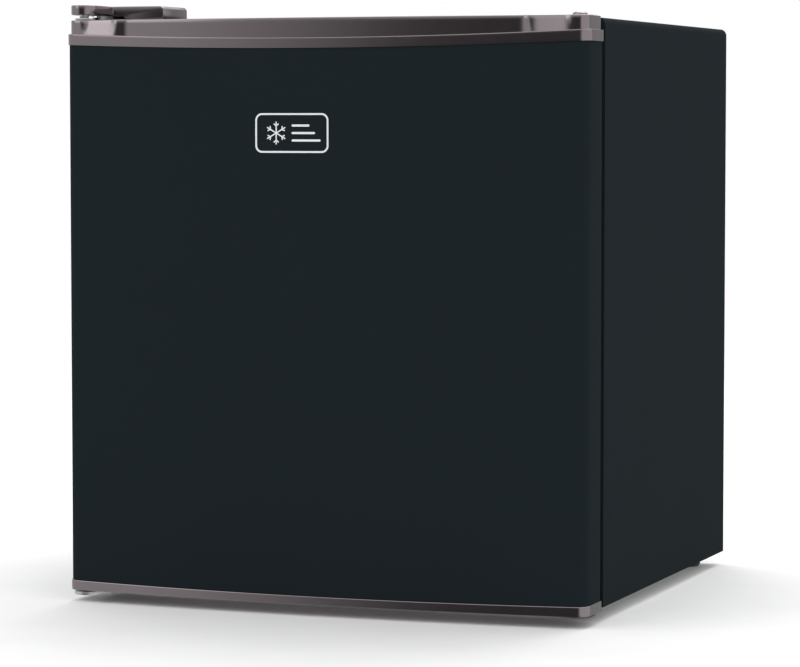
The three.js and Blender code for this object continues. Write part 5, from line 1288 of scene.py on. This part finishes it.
def drier():
    cartridge = turned("drier_shell", [
        [0, 0], [2.6 * MM, 0], [3 * MM, 8 * MM], [4.5 * MM, 12 * MM], [8.2 * MM, 17 * MM],
        [9 * MM, 20 * MM], [9 * MM, 82 * MM], [8.2 * MM, 85 * MM], [3.6 * MM, 90 * MM],
        [1.7 * MM, 94 * MM], [1.5 * MM, 133 * MM], [0, 133 * MM]],
        (62 * MM, 190.5 * MM, 53.5 * MM), "z", 40)
    liquid = pipe("liquid_line", [
        mm(62, 190.5, 56), mm(62, 190.5, 42), mm(84, 186.5, 35), mm(190, 160.5, 52),
        mm(225, 160.5, 87), mm(230.2, 160.5, 112), mm(230.2, 160.5, 131.5)],
        2.4 * MM, 12 * MM, COPPER)
    return joined("drier", [cartridge, liquid])


fitted(drier(), "cabinet", "copper", "filter_drier", angle=45)
suction = pipe("suction_line", [
    around_shell(50, 155, 107.1), around_shell(66, 155, 109), mm(-112, 196, 135),
    mm(-100, 202, 152), mm(-100, 202, 402.5), mm(-100, 176, 402.5)], 3 * MM, 14 * MM, COPPER)
fitted(suction, "cabinet", "copper", "suction_tube", angle=50)
fitted(refined("sensor_bulb", 0.3 * MM), "cabinet", "copper", "sensor_bulb", angle=60)

# %% [markdown]
# The back. The steel sheet is pressed with shallow ribs, because a flat sheet of this size would drum
# and ripple. The pressing goes inwards, so the back can still stand against a wall. The sheet's top
# corners are round, because it sits inside the wrapper's two folds.
# %% Back panel
def back_sheet():
    low, high = corners("back_panel")
    sheet = prism("back_sheet", arch(low[0], high[0], low[2], high[2], FOLD_RADIUS),
                  low[1], high[1], "y")
    rows, margin, half_rib, depth = 5, 45 * MM, 7 * MM, 0.45 * MM
    for row in range(rows):
        z = low[2] + (high[2] - low[2]) * (row + 0.5) / rows
        rib = prism("rib", rounded(low[0] + margin, high[0] - margin, z - half_rib, z + half_rib,
                                   6.9 * MM), high[1] - depth, high[1] + 4 * MM, "y")
        cut(sheet, eased(rib, 0.3 * MM, 2))
    return sheet


fitted(back_sheet(), "cabinet", "painted_black", "back_panel", angle=20)

# %% [markdown]
# Feet. The front two screw in and out to level the fridge, so they have a threaded stud and a ribbed
# pad that fingers can turn. The thread is drawn as turned grooves, which look the same at this size and
# cost far fewer faces than a helix. The rear two are plain rubber buttons.
# %% Feet
def stud(node):
    low, high = corners(node)
    x, y, _ = centre_of(node)
    pitch, tip, core, turns = 1.25 * MM, 4 * MM, 3.35 * MM, 17
    top = high[2] - low[2]
    profile = [[0, 0], [core, 0]]
    for index in range(turns):
        z = (index + 0.6) * pitch
        profile += [[core, z], [tip, z + 0.5 * pitch]]
    profile += [[core, top - 0.8 * MM], [2.6 * MM, top], [0, top]]
    return turned(node + "_fine", profile, (x, y, low[2]), "z", 32)


def pad(node):
    low, high = corners(node)
    (x, y, _), r = centre_of(node), 0.5 * (high[0] - low[0])
    outline = ribbed(x, y, r, 16, 0.5 * MM, 10)
    body = prism(node + "_fine", outline, low[2] + 1.2 * MM, high[2] - 1.8 * MM)
    sole = turned("sole", [[0, 0], [r - 2 * MM, 0], [r - 1.2 * MM, 0.8 * MM],
                           [r - 1.2 * MM, 1.6 * MM], [0, 1.6 * MM]], (x, y, low[2]), "z", 48)
    crown = turned("crown", [[0, 5 * MM], [r - 2 * MM, 5 * MM], [r - 2.4 * MM, 6.2 * MM],
                             [r - 5 * MM, high[2] - low[2]], [0, high[2] - low[2]]],
                   (x, y, low[2]), "z", 48)
    return fuse(body, sole, crown)


for side in ("left", "right"):
    fitted(stud(f"front_foot_stud_{side}"), f"{side}_foot_stud", "bare_steel",
           f"front_foot_stud_{side}", angle=25)
    fitted(pad(f"front_foot_pad_{side}"), f"{side}_foot_pad", "black_plastic",
           f"front_foot_pad_{side}", angle=35)
    fitted(refined(f"rear_foot_{side}", 0.5 * MM, angle=28), "cabinet", "rubber",
           f"rear_foot_{side}", angle=40)

# %% [markdown]
# The small steel and plastic fittings keep their working shape. Their edges are broken so that each one
# catches a line of light.
# %% Brackets, plugs and bushes
for node, width in (("top_hinge_bracket", 0.4), ("right_foot_bracket", 0.4),
                    ("lower_hinge_bracket", 0.2), ("compressor_plate", 0.3)):
    fitted(refined(node, width * MM), "cabinet", "bare_steel", node)
fitted(refined("door_cap_plug", 0.25 * MM, angle=28), "door", "metallic_trim", "door_cap_plug",
       angle=45)
fitted(refined("cabinet_top_plug", 0.2 * MM, angle=28), "cabinet", "metallic_trim",
       "cabinet_top_plug", angle=45)
fitted(refined("cord_gland", 0.25 * MM), "cabinet", "rubber", "cord_gland", angle=45)
for node, body in (("top_bush", "door"), ("bottom_bush", "door"), ("hinge_washer", "cabinet")):
    fitted(refined(node, 0.2 * MM), body, "nylon", node, angle=45)

# %% [markdown]
# The solids that need no finer skin. The two flat steel panels of the base and the bay, the foam, the
# coil in the wall, the magnet in the gasket and the switch in its housing are plain or hidden in life,
# so each is shown as its own solid, with the finish that its slot in the record names.
# %% Finish the plain solids
SLOT_OF = {part["node"]: part["material_slot"] for part in frame["record"]["subparts"]}
plain = [name for name, solid in frame["nodes"].items() if not solid.hide_render]
for name in plain:
    solid = frame["nodes"][name]
    solid.data.materials.clear()
    solid.data.materials.append(FINISH[SLOT_OF[name]])
print(len(plain), "plain solids:", plain)
